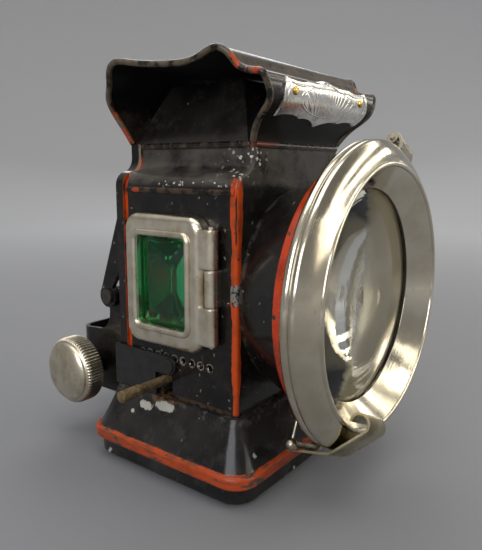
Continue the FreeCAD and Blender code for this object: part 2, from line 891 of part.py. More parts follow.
def make_lens_hinge():
    """The lug on the flange, the two knuckles on the bezel and the pin through them."""
    y, arm = hinge_axis()
    lug = new_body("bezel_hinge_lug")
    barrel = size.hinge_barrel_radius
    strap = size.hinge_plate
    half = size.hinge_knuckle / 2
    foot = size.flange_radius + size.seat_clearance
    rear = y + barrel
    pad(lug, "YZ_Plane", -half, size.hinge_knuckle, [
        (rear - strap, foot), (-flange_back, foot), (-flange_back, foot + strap),
        (rear, foot + strap), (rear, arm), (rear - strap, arm),
    ])
    pad(lug, "YZ_Plane", -half, size.hinge_knuckle, Circle(y, arm, barrel))
    bore = Circle(y, arm, size.hinge_pin_radius + size.running_clearance)
    cut(lug, "YZ_Plane", -half - PAST, size.hinge_knuckle + PAST * 2, bore)
    knuckles = new_body("bezel_hinge_knuckles")
    start = half + size.hinge_side_gap
    crest = size.bezel_radius + size.seat_clearance
    ahead = size.bezel_bead_width * 1.5 + strap / 2 - size.hinge_forward
    front = y - ahead
    top = arm + barrel
    level = top - ahead
    hook = [
        (y, top, Arc(ahead, LEFT)), (front, level), (front, crest), (front + strap, crest),
        (front + strap, level, Arc(ahead - strap, RIGHT)), (y, top - strap),
    ]
    reach = start + size.hinge_end_knuckle
    pad(knuckles, "YZ_Plane", -reach, reach * 2, block(front, front + strap, crest, level))
    for low in (-reach, start):
        pad(knuckles, "YZ_Plane", low, size.hinge_end_knuckle, hook)
        pad(knuckles, "YZ_Plane", low, size.hinge_end_knuckle, Circle(y, arm, barrel))
    tight = Circle(y, arm, size.hinge_pin_radius)
    cut(knuckles, "YZ_Plane", -reach - PAST, (reach + PAST) * 2, tight)
    pin = new_body("bezel_hinge_pin")
    length = reach + size.hinge_pin_radius
    pad(pin, "YZ_Plane", -length, length * 2, Circle(y, arm, size.hinge_pin_radius))
    for piece in (lug, knuckles, pin):
        place(piece, z=size.lens_height, clock=size.hinge_clock)


def make_catch():
    """The spring strip under the bezel with its rolled thumb end, and the keeper it rides over."""
    keeper_y = size.keeper_leg_radius - flange_back
    strip = new_body("catch_strip")
    metal = size.catch_sheet
    cosine = math.cos(math.radians(CATCH_SLOPE))
    sine = math.sin(math.radians(CATCH_SLOPE))
    big = size.catch_scroll_radius
    small = big - metal
    scroll_y = -bezel_front - size.catch_scroll_ahead
    scroll_z = size.bezel_rim_radius - size.catch_scroll_inset
    rear = keeper_y + size.keeper_ball_radius
    rear_low = size.keeper_arm + size.keeper_radius + size.keeper_gap
    bend = size.bezel_radius + size.catch_clearance

    def slope_y(radius, height):
        rise = height - scroll_z - radius * cosine
        return scroll_y - radius * sine + rise * (cosine / sine)

    def on_scroll(radius, across, up):
        return scroll_y + radius * across, scroll_z + radius * up

    outer = Arc(big, LEFT)
    inner = Arc(small, RIGHT)
    pad(strip, "YZ_Plane", -size.catch_width / 2, size.catch_width, [
        (rear, rear_low), (rear, rear_low + metal),
        (slope_y(big, bend + metal), bend + metal),
        (*on_scroll(big, -sine, cosine), outer),
        (*on_scroll(big, -sine, -cosine), outer),
        (*on_scroll(big, sine, -cosine), outer),
        on_scroll(big, 1, 0),
        (*on_scroll(small, 1, 0), inner),
        (*on_scroll(small, sine, -cosine), inner),
        (*on_scroll(small, -sine, -cosine), inner),
        on_scroll(small, -sine, cosine),
        (slope_y(small, bend), bend),
    ])
    for radius, height, bow in ((small, bend, size.catch_bend), (big, bend + metal, size.catch_bend + metal)):
        corner = Vector(0, slope_y(radius, height).value, height.value)
        soften(strip, bow, lambda edge: (edge.BoundBox.Center - corner).Length < 1e-3)
    keeper = new_body("catch_keeper")
    arm = size.keeper_arm
    foot = size.barrel_mouth_radius + size.hinge_side_gap
    long = size.catch_width / 2 + size.keeper_ball_radius
    pad(keeper, "YZ_Plane", -long, long * 2, Circle(keeper_y, arm, size.keeper_radius))
    for flank in (-1, 1):
        pad(keeper, "XY_Plane", foot, arm - foot, Circle(long * flank, keeper_y, size.keeper_leg_radius))
        add_ball(keeper, "YZ_Plane", keeper_y, arm, long * flank, size.keeper_ball_radius)
    for piece in (strip, keeper):
        place(piece, z=size.lens_height, clock=size.hinge_clock + 180)


# Jewel doors

def make_jewel_door(colour, side):
    """A side door: frame with two knuckles, glass jewel, retainer, fixed leaf and pin."""
    wall = half_width + size.jewel_frame_gap
    face = wall + size.jewel_frame_depth
    middle_y = size.jewel_offset
    middle_z = size.jewel_height

    def slab(work, body, near, far, *loops):
        work(body, "YZ_Plane", near if side > 0 else -far, far - near, *loops)

    def around(width, height, radius):
        return rounded(middle_y - width / 2, middle_y + width / 2,
                       middle_z - height / 2, middle_z + height / 2, radius)

    ledge = size.jewel_ledge * 2
    pocket = around(size.window_width + ledge, size.window_height + ledge, size.window_corner)
    glass_back = wall + size.retainer_sheet + size.seat_clearance
    glass_step = glass_back + size.jewel_base
    frame = new_body(f"{colour}_jewel_frame")
    outline = around(size.jewel_frame_width, size.jewel_frame_height, size.jewel_frame_corner)
    slab(pad, frame, wall, face, outline)
    border = abs(face.value)

    def is_face_edge(edge):
        box = edge.BoundBox
        return box.XLength < 1e-6 and abs(abs(box.XMin) - border) < 1e-6

    soften(frame, size.jewel_frame_round, is_face_edge)
    window = around(size.window_width, size.window_height, size.window_corner)
    slab(cut, frame, wall - PAST, face + PAST, window)
    slab(cut, frame, wall - PAST, glass_step + size.seat_clearance, pocket)

    axis_x = (half_width + size.jewel_barrel_out) * side
    edge_y = middle_y - size.jewel_frame_width / 2
    axis_y = edge_y - size.jewel_barrel_ahead
    barrel = size.jewel_barrel_radius
    low = middle_z - size.jewel_hinge_length / 2
    high = middle_z + size.jewel_hinge_length / 2
    inner_low = middle_z - size.jewel_middle_knuckle / 2
    inner_high = middle_z + size.jewel_middle_knuckle / 2
    gap = size.hinge_side_gap
    knuckle = Circle(axis_x, axis_y, barrel)
    outer_x = axis_x + barrel * side
    strap_low, strap_high = (axis_x, outer_x) if side > 0 else (outer_x, axis_x)
    strap = block(strap_low, strap_high, axis_y, edge_y + size.jewel_frame_round)
    for start, end in ((low, inner_low - gap), (inner_high + gap, high)):
        pad(frame, "XY_Plane", start, end - start, knuckle)
        pad(frame, "XY_Plane", start, end - start, strap)
    bore = Circle(axis_x, axis_y, size.jewel_pin_radius + size.running_clearance)
    cut(frame, "XY_Plane", low - PAST, size.jewel_hinge_length + PAST * 2, bore)

    leaf = new_body(f"{colour}_hinge_leaf")
    root_x = half_width * side
    leaf_low, leaf_high = (root_x, axis_x) if side > 0 else (axis_x, root_x)
    pad(leaf, "XY_Plane", inner_low, size.jewel_middle_knuckle, knuckle)
    pad(leaf, "XY_Plane", inner_low, size.jewel_middle_knuckle,
        block(leaf_low, leaf_high, axis_y - barrel, axis_y))
    tight = Circle(axis_x, axis_y, size.jewel_pin_radius)
    cut(leaf, "XY_Plane", inner_low - PAST, size.jewel_middle_knuckle + PAST * 2, tight)

    pin = new_body(f"{colour}_hinge_pin")
    head = size.jewel_pin_radius
    pad(pin, "XY_Plane", low - head, size.jewel_hinge_length + head * 2, tight)

    jewel = new_body(f"{colour}_jewel")
    fit = size.seat_clearance * 2
    slab(pad, jewel, glass_back, glass_step,
         around(size.window_width + ledge - fit, size.window_height + ledge - fit, size.window_corner))
    foot_width = size.window_width - fit
    foot_height = size.window_height - fit
    bevel = size.jewel_bevel * 2

    def facet(width, height):
        return block(middle_y - width / 2, middle_y + width / 2,
                     middle_z - height / 2, middle_z + height / 2)

    loft(jewel, "Additive", "YZ_Plane", [
        (glass_step * side, facet(foot_width, foot_height)),
        ((glass_step + size.jewel_crown) * side, facet(foot_width - bevel, foot_height - bevel)),
    ])

    retainer = new_body(f"{colour}_jewel_retainer")
    slab(pad, retainer, wall, wall + size.retainer_sheet,
         around(size.window_width + ledge - fit, size.window_height + ledge - fit, size.window_corner),
         around(size.window_width - ledge, size.window_height - ledge, size.window_corner))


# Lamp interior and oil font

def make_reflector():
    """The concave reflector on a stud from the back plate."""
    body = new_body("reflector")
    radius = size.reflector_radius
    depth = size.reflector_depth
    bend = (radius * radius + depth * depth) / (depth * 2)
    seat = back_face - size.sheet
    apex = seat - size.reflector_stud_length
    rim = apex - depth
    metal = size.reflector_sheet
    turn(body, "YZ_Plane", "H_Axis", [
        (apex, 0, Arc(bend, LEFT)), (rim, radius),
        (rim - metal, radius, Arc(bend, RIGHT)), (apex - metal, 0),
    ])
    pad(body, "XZ_Plane", -seat, size.reflector_stud_length + metal / 2,
        Circle(0, 0, size.reflector_stud_radius))
    place(body, z=size.lens_height)


def font_levels(inset, top):
    """The flared font's outlines from the rim up to its top, drawn inward by inset."""
    step = (size.font_rim_step + inset) * 2
    rim_width = size.font_rim_width - step
    rim_depth = size.font_rim_depth - step
    top_width = size.font_top_width - inset * 2
    top_depth = size.font_top_depth - inset * 2
    rim_corner = size.font_rim_corner - inset
    top_corner = size.font_top_corner - inset
    middle = (size.font_rim_high + size.body_foot) / 2
    return [
        (size.font_rim_high, centred(rim_width, rim_depth, rim_corner)),
        (middle, centred((rim_width + top_width) / 2 - size.font_waist,
                         (rim_depth + top_depth) / 2 - size.font_waist,
                         (rim_corner + top_corner) / 2)),
        (top, centred(top_width, top_depth, top_corner)),
    ]


def make_font():
    """The oil font: a flared shell with a thick rim, closed below by a shallow tray."""
    shell = new_body("font_shell")
    band = size.font_rim_high - size.font_rim_low
    pad(shell, "XY_Plane", size.font_rim_low, band,
        centred(size.font_rim_width, size.font_rim_depth, size.font_rim_corner))
    soften(shell, size.font_rim_round, lambda edge: edge.BoundBox.ZLength < 1e-6)
    loft(shell, "Additive", "XY_Plane", font_levels(0, size.body_foot))
    wall = size.font_wall
    inside = font_levels(wall, size.body_foot - wall)
    cut(shell, "XY_Plane", size.font_rim_low - PAST, band + PAST, inside[0][1])
    loft(shell, "Subtractive", "XY_Plane", inside)
    cut(shell, "XY_Plane", size.body_foot - wall * 2, wall * 3,
        Circle(0, 0, size.collar_radius + size.seat_clearance))

    bottom = new_body("font_bottom")
    step = (size.font_rim_step + size.font_rim_round / 2) * 2
    corner = size.font_rim_corner - size.font_rim_step

    def tray(inset, low):
        across = inset * 2
        bevel = across + size.font_bottom_round * 2
        width = size.font_bottom_width
        depth = size.font_bottom_depth
        return [
            (low, centred(width - bevel, depth - bevel, corner - inset)),
            (low + size.font_bottom_round, centred(width - across, depth - across, corner - inset)),
            (size.font_rim_low, centred(size.font_rim_width - step - across,
                                        size.font_rim_depth - step - across, corner - inset)),
        ]

    loft(bottom, "Additive", "XY_Plane", tray(0, 0), ruled=True)
    loft(bottom, "Subtractive", "XY_Plane", tray(wall, wall), ruled=True)


def make_font_clip():
    """The strap that stands on the font and grips the body's sides, notched for the spindle."""
    body = new_body("font_clip")
    near = half_width + size.clip_side_gap
    far = near + size.clip_sheet
    rear_in = back_face + size.clip_side_gap
    rear_out = rear_in + size.clip_sheet
    tip = -size.clip_nose_tip
    foot = size.body_foot
    top = foot + size.clip_height
    pad(body, "XY_Plane", foot, size.clip_height, [
        (-far, tip), (-near, tip), (-near, rear_in), (near, rear_in),
        (near, tip), (far, tip), (far, rear_out), (-far, rear_out),
    ])
    nose = size.clip_nose_radius
    nose_y = tip + nose
    nose_z = top - nose
    bend = Arc(nose, RIGHT)
    cut(body, "YZ_Plane", -far - PAST, (far + PAST) * 2, [
        (tip - PAST, foot - PAST), (size.clip_notch, foot - PAST), (size.clip_notch, nose_z - nose),
        (nose_y, nose_z - nose, bend), (tip, nose_z, bend), (nose_y, top),
        (nose_y, top + PAST), (tip - PAST, top + PAST),
    ])
    for start in (-far - size.clip_button_height, far):
        pad(body, "YZ_Plane", start, size.clip_button_height,
            Circle(nose_y, nose_z, size.clip_button_radius))


def make_burner():
    """The burner: a threaded collar, a plate with two bearings, the wick tube and the wick."""
    foot = size.body_foot
    rim = size.collar_radius + size.collar_flange
    deck = foot + size.burner_plate
    collar = new_body("burner_collar")
    turn(collar, "XZ_Plane", "V_Axis", [
        (size.collar_bore, foot - size.collar_depth), (size.collar_radius, foot - size.collar_depth),
        (size.collar_radius, foot), (rim, foot), (rim, deck), (size.collar_bore, deck),
    ])
    outside = size.tube_wall + tube_half
    tube_back = tube_inside_back + size.tube_wall
    tube_front = tube_inside_front - size.tube_wall
    plate = new_body("burner_plate")
    pad(plate, "XY_Plane", deck, size.burner_plate, Circle(0, 0, rim))
    ear = size.spindle_radius + size.bearing_wall
    for flank in (-1, 1):
        start = size.bearing_span / 2 * flank - size.bearing_sheet / 2
        pad(plate, "YZ_Plane", start, size.bearing_sheet,
            block(spindle_y - ear, spindle_y + ear, deck + size.burner_plate / 2, size.spindle_height))
        pad(plate, "YZ_Plane", start, size.bearing_sheet, Circle(spindle_y, size.spindle_height, ear))
    loose = size.seat_clearance
    cut(plate, "XY_Plane", deck - PAST, size.burner_plate + PAST,
        block(-outside - loose, outside + loose, tube_front - loose, tube_back + loose))
    bore = Circle(spindle_y, size.spindle_height, size.spindle_radius + size.running_clearance)
    cut(plate, "YZ_Plane", -size.bearing_span, size.bearing_span * 2, bore)

    tube = new_body("wick_tube")
    pad(tube, "XY_Plane", size.tube_low, size.tube_high - size.tube_low,
        block(-outside, outside, tube_front, tube_back),
        block(-tube_half, tube_half, tube_inside_front, tube_inside_back))
    slot = size.wheel_length / 2 + size.tube_wall
    tall = size.wheel_radius + size.tube_wall
    cut(tube, "XZ_Plane", -tube_back - PAST, size.tube_wall + PAST + size.tube_clearance / 2,
        block(-slot, slot, size.spindle_height - tall, size.spindle_height + tall))

    wick = new_body("wick")
    pad(wick, "XY_Plane", size.wick_low, size.wick_high - size.wick_low,
        block(-size.wick_width / 2, size.wick_width / 2, wick_front, wick_back))

    spindle = new_body("winder_spindle")
    axle = Circle(spindle_y, size.spindle_height, size.spindle_radius)
    pad(spindle, "YZ_Plane", -size.spindle_out, size.spindle_out + size.spindle_in, axle)
    pad(spindle, "YZ_Plane", -size.spindle_out, size.spindle_grip_length,
        Circle(spindle_y, size.spindle_height, size.spindle_grip_radius))

    wheel = new_body("wick_wheel")
    teeth = []
    for k in range(WHEEL_TEETH * 2):
        angle = math.pi * k / WHEEL_TEETH
        radius = size.wheel_radius - (size.wheel_tooth if k % 2 else 0)
        teeth.append((spindle_y + radius * math.cos(angle), size.spindle_height + radius * math.sin(angle)))
    pad(wheel, "YZ_Plane", -size.wheel_length / 2, size.wheel_length, teeth, axle)


# Hanger and bracket

def make_hanger():
    """The yoke riveted to the back, its two arms, the rivets and the pivot pin."""
    yoke = new_body("hanger_yoke")
    metal = size.hanger_sheet
    half = size.hanger_half_width
    pivot_y = size.pivot_back
    pivot_z = size.pivot_height
    web_back = back_face + metal
    pad(yoke, "XZ_Plane", -web_back, metal, block(-half, half, size.hanger_low, size.hanger_top))
    eye = Circle(pivot_y, pivot_z, size.pivot_eye)
    across = math.sin(math.radians(HANGER_SLOPE))
    along = math.cos(math.radians(HANGER_SLOPE))
    for start in (-half, half - metal):
        pad(yoke, "YZ_Plane", start, metal, [
            (back_face, size.hanger_low),
            (pivot_y - size.pivot_eye * across, pivot_z + size.pivot_eye * along),
            (pivot_y + size.pivot_eye * along, pivot_z + size.pivot_eye * across),
            (web_back + size.hanger_shoulder, size.hanger_low + size.hanger_shoulder_rise),
            (web_back + size.hanger_lean - metal, size.hanger_top),
            (back_face, size.hanger_top),
        ])
        pad(yoke, "YZ_Plane", start, metal, eye)
    cut(yoke, "YZ_Plane", -half - PAST, (half + PAST) * 2, Circle(pivot_y, pivot_z, size.pivot_radius))
    cut(yoke, "XZ_Plane", -web_back - PAST, metal + PAST * 2, *hanger_rivet_circles(size.seat_clearance))

    rivets = new_body("hanger_rivets")
    shanks = hanger_rivet_circles(0)
    rise = size.hanger_rivet_head * size.rivet_head_rise
    pad(rivets, "XZ_Plane", -web_back, metal + size.sheet, *shanks)
    heads = [Circle(shank.x, shank.y, size.hanger_rivet_head) for shank in shanks]
    pad(rivets, "XZ_Plane", -web_back - rise, rise, *heads)
    round_top(rivets, (web_back + rise).value, rise)

    pin = new_body("bracket_pin")
    pad(pin, "YZ_Plane", -half, half * 2, Circle(pivot_y, pivot_z, size.pivot_radius))
    for start in (-half - size.pivot_head_height, half):
        pad(pin, "YZ_Plane", start, size.pivot_head_height,
            Circle(pivot_y, pivot_z, size.pivot_head_radius))


def make_cradle():
    """The socket that drops over the cycle's lamp bracket, with ears on the pivot and a boss."""
    body = new_body("bracket_socket")
    metal = size.cradle_sheet
    half = size.hanger_half_width - size.hanger_sheet - size.cradle_gap
    front = size.cradle_front
    back = size.cradle_back
    low = size.cradle_low
    pivot_y = size.pivot_back
    pivot_z = size.pivot_height

    def tube(inset):
        round_back = size.cradle_corner - inset
        bend = Arc(round_back, LEFT)
        side = half - inset
        rear = back - inset
        return [
            (-side, front + inset), (side, front + inset),
            (side, rear - round_back, bend), (side - round_back, rear),
            (round_back - side, rear, bend), (-side, rear - round_back),
        ]

    pad(body, "XY_Plane", low, pivot_z - low, tube(0), tube(metal))
    run = size.cradle_scoop
    fall = size.cradle_neck_height - size.cradle_mouth - size.cradle_mouth_slope
    scoop = Arc((run * run + fall * fall) / (run * 2), LEFT)
    cut(body, "YZ_Plane", -half - PAST, (half + PAST) * 2, [
        (size.cradle_neck, pivot_z + PAST), (size.cradle_neck, size.cradle_neck_height, scoop),
        (size.cradle_neck + run, size.cradle_mouth + size.cradle_mouth_slope),
        (back + PAST, size.cradle_mouth), (back + PAST, pivot_z + PAST),
    ])
    cut(body, "XZ_Plane", -front - metal - PAST, metal + PAST * 2,
        block(metal - half, half - metal, size.cradle_web_top, pivot_z + PAST))
    for start in (-half, half - metal):
        pad(body, "YZ_Plane", start, metal, Circle(pivot_y, pivot_z, size.pivot_eye))
    cut(body, "YZ_Plane", -half - PAST, (half + PAST) * 2,
        Circle(pivot_y, pivot_z, size.pivot_radius + size.running_clearance))
    boss = half + size.clamp_boss_length
    middle = (size.clamp_back, size.clamp_height)
    pad(body, "YZ_Plane", -boss, size.clamp_boss_length + metal / 2, Circle(*middle, size.clamp_boss_radius))
    cut(body, "YZ_Plane", -boss - PAST, size.clamp_boss_length + metal + PAST * 2,
        Circle(*middle, size.clamp_screw_radius + size.running_clearance))
    return half, boss


def make_clamp(half, boss):
    """The clamp screw with its knob outside the socket and its swivelling pad inside."""
    pad_face = half - size.cradle_sheet - size.clamp_pad_reach
    nose = size.clamp_nose_radius
    foot = new_body("clamp_pad")
    pad(foot, "YZ_Plane", -pad_face, size.clamp_pad_sheet, Circle(0, 0, size.clamp_pad_radius))
    cut(foot, "YZ_Plane", -pad_face - PAST, size.clamp_nose_length + size.running_clearance + PAST,
        Circle(0, 0, nose + size.running_clearance))
    knob_back = boss + size.knob_gap
    knob_front = knob_back + size.knob_thickness
    seat = knob_back + size.knob_thickness / 2
    screw = new_body("clamp_screw")
    shoulder = pad_face + size.running_clearance
    pad(screw, "YZ_Plane", -seat, seat - shoulder, Circle(0, 0, size.clamp_screw_radius))
    pad(screw, "YZ_Plane", -shoulder, size.clamp_nose_length, Circle(0, 0, nose))
    knob = new_body("clamp_knob")
    radius = size.knob_radius
    edge = size.knob_round
    dome = size.knob_dome_radius
    rise = size.knob_dome_rise
    bore = size.clamp_screw_radius
    turn(knob, "XZ_Plane", "H_Axis", [
        (-knob_front - rise, 0), (-seat, 0), (-seat, bore), (-knob_back, bore),
        (-knob_back, radius - edge, Arc(edge, LEFT)), (-knob_back - edge, radius),
        (edge - knob_front, radius, Arc(edge, LEFT)), (-knob_front, radius - edge),
        (-knob_front, dome, Arc((dome * dome + rise * rise) / (rise * 2), LEFT)),
    ])
    for piece in (foot, screw, knob):
        place(piece, y=size.clamp_back, z=size.clamp_height)


make_body_shell()
make_back_plate()
make_barrel()
make_flange()
make_hood()
make_flue()
make_name_plate()
make_bezel()
make_lens()
make_lens_ring()
make_lens_hinge()
make_catch()
make_jewel_door("green", -1)
make_jewel_door("red", 1)
make_reflector()
make_font()
make_font_clip()
make_burner()
make_hanger()
socket_half, socket_boss = make_cradle()
make_clamp(socket_half, socket_boss)

doc.recompute()
os.makedirs("parts", exist_ok=True)
for item in doc.Objects:
    if "Invalid" in item.State or "Error" in item.State:
        raise ValueError(f"{item.Name} did not build")
for node in NODES:
    shape = node.Shape
    if shape.isNull() or not shape.isValid() or not shape.Solids:
        raise ValueError(f"{node.Label} has no valid solid")
    print(f"{node.Label}: {len(shape.Solids)} solid, {shape.Volume:.1f} mm3")
    shape.exportStep(f"parts/{node.Label}.step")
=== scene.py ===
# %% [markdown]
# # A bicycle oil lamp
#
# The lamp is a black sheet-metal lantern on a slide-in oil font. A big lens in a nickel door looks
# forward, a green jewel looks to one side and a red one to the other, and a flared hood keeps rain
# off the flue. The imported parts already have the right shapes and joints. This lesson gives them
# their worn paint, nickel, brass and glass, and adds the thin trim that is easier to make here:
# rolled edges, cut jewels, a knurled knob, raised rims and a border on the bare name plate.

import json
import math
import bmesh
import bpy
import numpy as np
from mathutils import Euler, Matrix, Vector


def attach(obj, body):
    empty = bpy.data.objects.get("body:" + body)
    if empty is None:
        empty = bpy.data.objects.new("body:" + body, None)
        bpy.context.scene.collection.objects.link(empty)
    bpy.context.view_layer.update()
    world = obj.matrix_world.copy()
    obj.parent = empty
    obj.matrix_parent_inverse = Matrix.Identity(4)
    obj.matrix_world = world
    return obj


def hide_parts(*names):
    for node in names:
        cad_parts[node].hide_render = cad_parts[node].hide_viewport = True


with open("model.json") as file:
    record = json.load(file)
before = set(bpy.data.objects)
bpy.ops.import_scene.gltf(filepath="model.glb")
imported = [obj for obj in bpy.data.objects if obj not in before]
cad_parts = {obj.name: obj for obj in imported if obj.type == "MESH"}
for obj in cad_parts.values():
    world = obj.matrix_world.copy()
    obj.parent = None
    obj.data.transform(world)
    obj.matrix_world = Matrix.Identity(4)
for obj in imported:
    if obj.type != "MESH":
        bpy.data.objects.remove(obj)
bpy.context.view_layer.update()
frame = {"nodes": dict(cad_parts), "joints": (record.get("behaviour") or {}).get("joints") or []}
nodes = frame["nodes"]
scene = bpy.context.scene
print("packed pieces:", len(nodes))

# %% [markdown]
# ## Tools for surfaces
#
# Every new piece is a grid of points worked out by a formula, all at once, and turned into
# four-sided faces. Sizes are in millimetres here, as in a workshop drawing, and become metres when
# the mesh is made. A pole or a seam gives points that lie on each other, so they are welded, and
# the faces are then turned outward. Pulling points by hand would work too, but a formula can be read
# again and changed.

# %% Surfaces from grids
MM = 0.001


def grid_mesh(name, grid, material, closed=(False, False)):
    """Turn a grid of points (rows, columns, 3) in millimetres into a mesh of quads."""
    rows, columns = grid.shape[:2]
    index = np.arange(rows * columns).reshape(rows, columns)
    if closed[0]:
        index = np.vstack([index, index[:1]])
    if closed[1]:
        index = np.hstack([index, index[:, :1]])
    quads = np.stack([index[:-1, :-1], index[:-1, 1:], index[1:, 1:], index[1:, :-1]], axis=-1)
    mesh = bpy.data.meshes.new(name)
    mesh.from_pydata((grid.reshape(-1, 3) * MM).tolist(), [], quads.reshape(-1, 4).tolist())
    mesh.materials.append(material)
    made = bpy.data.objects.new(name, mesh)
    scene.collection.objects.link(made)
    return made


def make_piece(name, body, grid, material, closed=(False, True), crease=40.0):
    """Make a closed piece from a grid and let it ride on a body of the lamp."""
    piece = grid_mesh(name, grid, material, closed)
    mesh = piece.data
    work = bmesh.new()
    work.from_mesh(mesh)
    bmesh.ops.remove_doubles(work, verts=work.verts, dist=1e-7)
    bmesh.ops.recalc_face_normals(work, faces=work.faces)
    work.to_mesh(mesh)
    work.free()
    mesh.shade_smooth()
    mesh.set_sharp_from_angle(angle=math.radians(crease))
    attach(piece, body)
    print(f"{name}: {len(mesh.polygons)} faces on {body}")
    return piece


print("one unit is", MM, "m")

# %% [markdown]
# ## Curves
#
# Most trim on the lamp is a small section carried along a line: a wire along an edge, a bead round
# a window. Two curves and one sweep are enough for all of it.

# %% Sweeps and splines
def unit(vectors):
    """Scale each vector of an array to length one."""
    return vectors / np.linalg.norm(vectors, axis=-1, keepdims=True)


def sweep(path, section, reference, closed=False):
    """Carry a closed section along a path.

    Each row is a point of the path plus the section's two offsets. The first runs along the
    reference direction made square to the path, and the second along the cross product of the
    path's direction with the first. An open path gets an end row shrunk onto its last point.
    """
    ahead = np.roll(path, -1, axis=0) - np.roll(path, 1, axis=0)
    along = unit(ahead if closed else np.gradient(path, axis=0))
    reference = np.broadcast_to(np.asarray(reference, float), path.shape)
    first = unit(reference - along * np.sum(reference * along, axis=1, keepdims=True))
    second = np.cross(along, first)
    offsets = section[None, :, :1] * first[:, None] + section[None, :, 1:] * second[:, None]
    grid = path[:, None] + offsets
    if closed:
        return grid
    ends = np.repeat(path[[0, -1], None], len(section), axis=1)
    return np.concatenate([ends[:1], grid, ends[1:]])


def ellipse(wide, tall, count=16):
    """An ellipse's points: half its width times the cosine, half its height times the sine."""
    angle = np.linspace(0, 2 * np.pi, count, endpoint=False)
    return np.stack([wide * np.cos(angle), tall * np.sin(angle)], axis=1)


def spline(points, count):
    """A smooth curve through points: cubic pieces whose slope and bend agree where they meet.

    The curve's length along the chords is its parameter. The bends at the points come from one
    set of linear equations, and the ends don't bend.
    """
    points = np.asarray(points, float)
    step = np.linalg.norm(np.diff(points, axis=0), axis=1)
    knot = np.concatenate([[0], np.cumsum(step)])
    size = len(points)
    system = np.eye(size)
    inner = np.arange(1, size - 1)
    system[inner, inner - 1] = step[:-1]
    system[inner, inner] = 2 * (step[:-1] + step[1:])
    system[inner, inner + 1] = step[1:]
    slope = np.diff(points, axis=0) / step[:, None]
    bend = np.zeros_like(points)
    bend[1:-1] = 6 * np.diff(slope, axis=0)
    bend = np.linalg.solve(system, bend)
    place = np.linspace(0, knot[-1], count)
    k = np.clip(np.searchsorted(knot, place) - 1, 0, size - 2)
    before = (knot[k + 1] - place)[:, None]
    after = (place - knot[k])[:, None]
    width = step[k][:, None]
    cubic = (bend[k] * before ** 3 + bend[k + 1] * after ** 3) / (6 * width)
    left = (points[k] / width - bend[k] * width / 6) * before
    right = (points[k + 1] / width - bend[k + 1] * width / 6) * after
    return cubic + left + right


print("a spline through three points starts with", spline([(0, 0), (1, 1), (2, 0)], 5)[:2].tolist())

# %% [markdown]
# ## Tools for materials
#
# A shader is a small network of nodes. One function adds any node, sets it up and feeds its
# inputs, so the materials below read as lists of steps. Colours are written as they look on a
# screen and turned into linear light. Every pattern is measured in millimetres of the real lamp.

# %% Nodes and colours
def srgb(text):
    """Turn a screen colour such as C8401A into linear red, green and blue."""
    shown = np.array([int(text[k:k + 2], 16) for k in (0, 2, 4)]) / 255
    linear = np.where(shown <= 0.04045, shown / 12.92, ((shown + 0.055) / 1.055) ** 2.4)
    return (*linear.tolist(), 1.0)


def add(tree, kind, *inputs, **settings):
    """Add a shader node, feed its enabled inputs in order, and return its first enabled output.

    An input is a number, a tuple or the output of another node, and None leaves it alone.
    """
    made = tree.nodes.new(f"ShaderNode{kind}")
    for name, value in settings.items():
        setattr(made, name, value)
    for socket, value in zip([s for s in made.inputs if s.enabled], inputs):
        if isinstance(value, bpy.types.NodeSocket):
            tree.links.new(value, socket)
        elif value is not None:
            socket.default_value = value
    return next(s for s in made.outputs if s.enabled)


def new_material(name):
    """Start a material and return it, its tree, and the place on the lamp in millimetres."""
    material = bpy.data.materials.new(name)
    material.use_nodes = True
    tree = material.node_tree
    metres = add(tree, "TexCoord").node.outputs["Object"]
    return material, tree, add(tree, "VectorMath", metres, 1000.0, operation="SCALE")


def feed(tree, **inputs):
    """Set or link the main shader's sockets, named with _ in place of spaces."""
    shader = tree.nodes["Principled BSDF"]
    for name, value in inputs.items():
        socket = shader.inputs[name.replace("_", " ")]
        if isinstance(value, bpy.types.NodeSocket):
            tree.links.new(value, socket)
        else:
            socket.default_value = value


print("pure red in linear light:", srgb("FF0000"))

# %% [markdown]
# ## Masks
#
# A mask is a number from 0 to 1 that says where a coat lies. Masks come from places on the lamp
# (a stripe, a spot) and from noise (wear, dirt), and they are multiplied together. They could be
# painted on an image, but worked out like this they keep their size and stay sharp close up.

# %% Masks from places and noise
def join(tree, operation, first, *rest):
    """Carry one sum, such as MULTIPLY or MAXIMUM, along several numbers or node outputs."""
    for value in rest:
        first = add(tree, "Math", first, value, operation=operation)
    return first


def edge(tree, value, start, end):
    """A mask that goes smoothly from 0 where value is start to 1 where it is end."""
    return add(tree, "MapRange", value, start, end, 0.0, 1.0, interpolation_type="SMOOTHSTEP")


def between(tree, value, low, high, soft):
    """A mask that is 1 where value lies between low and high, with edges as wide as soft."""
    rise = edge(tree, value, low - soft, low + soft)
    return join(tree, "MULTIPLY", rise, edge(tree, value, high + soft, high - soft))


def away(tree, place, centre, scale=(1.0, 1.0, 1.0)):
    """Distance from a centre, after each direction is stretched by its own scale."""
    offset = add(tree, "VectorMath", place, centre, operation="SUBTRACT")
    stretched = add(tree, "VectorMath", offset, scale, operation="MULTIPLY")
    return add(tree, "VectorMath", stretched, operation="LENGTH")


def grain(tree, place, size, low, high, detail=4.0, rough=0.6):
    """Noise whose spots are about size millimetres wide, cut to a mask between two levels."""
    return edge(tree, add(tree, "TexNoise", place, 1.0 / size, detail, rough), low, high)


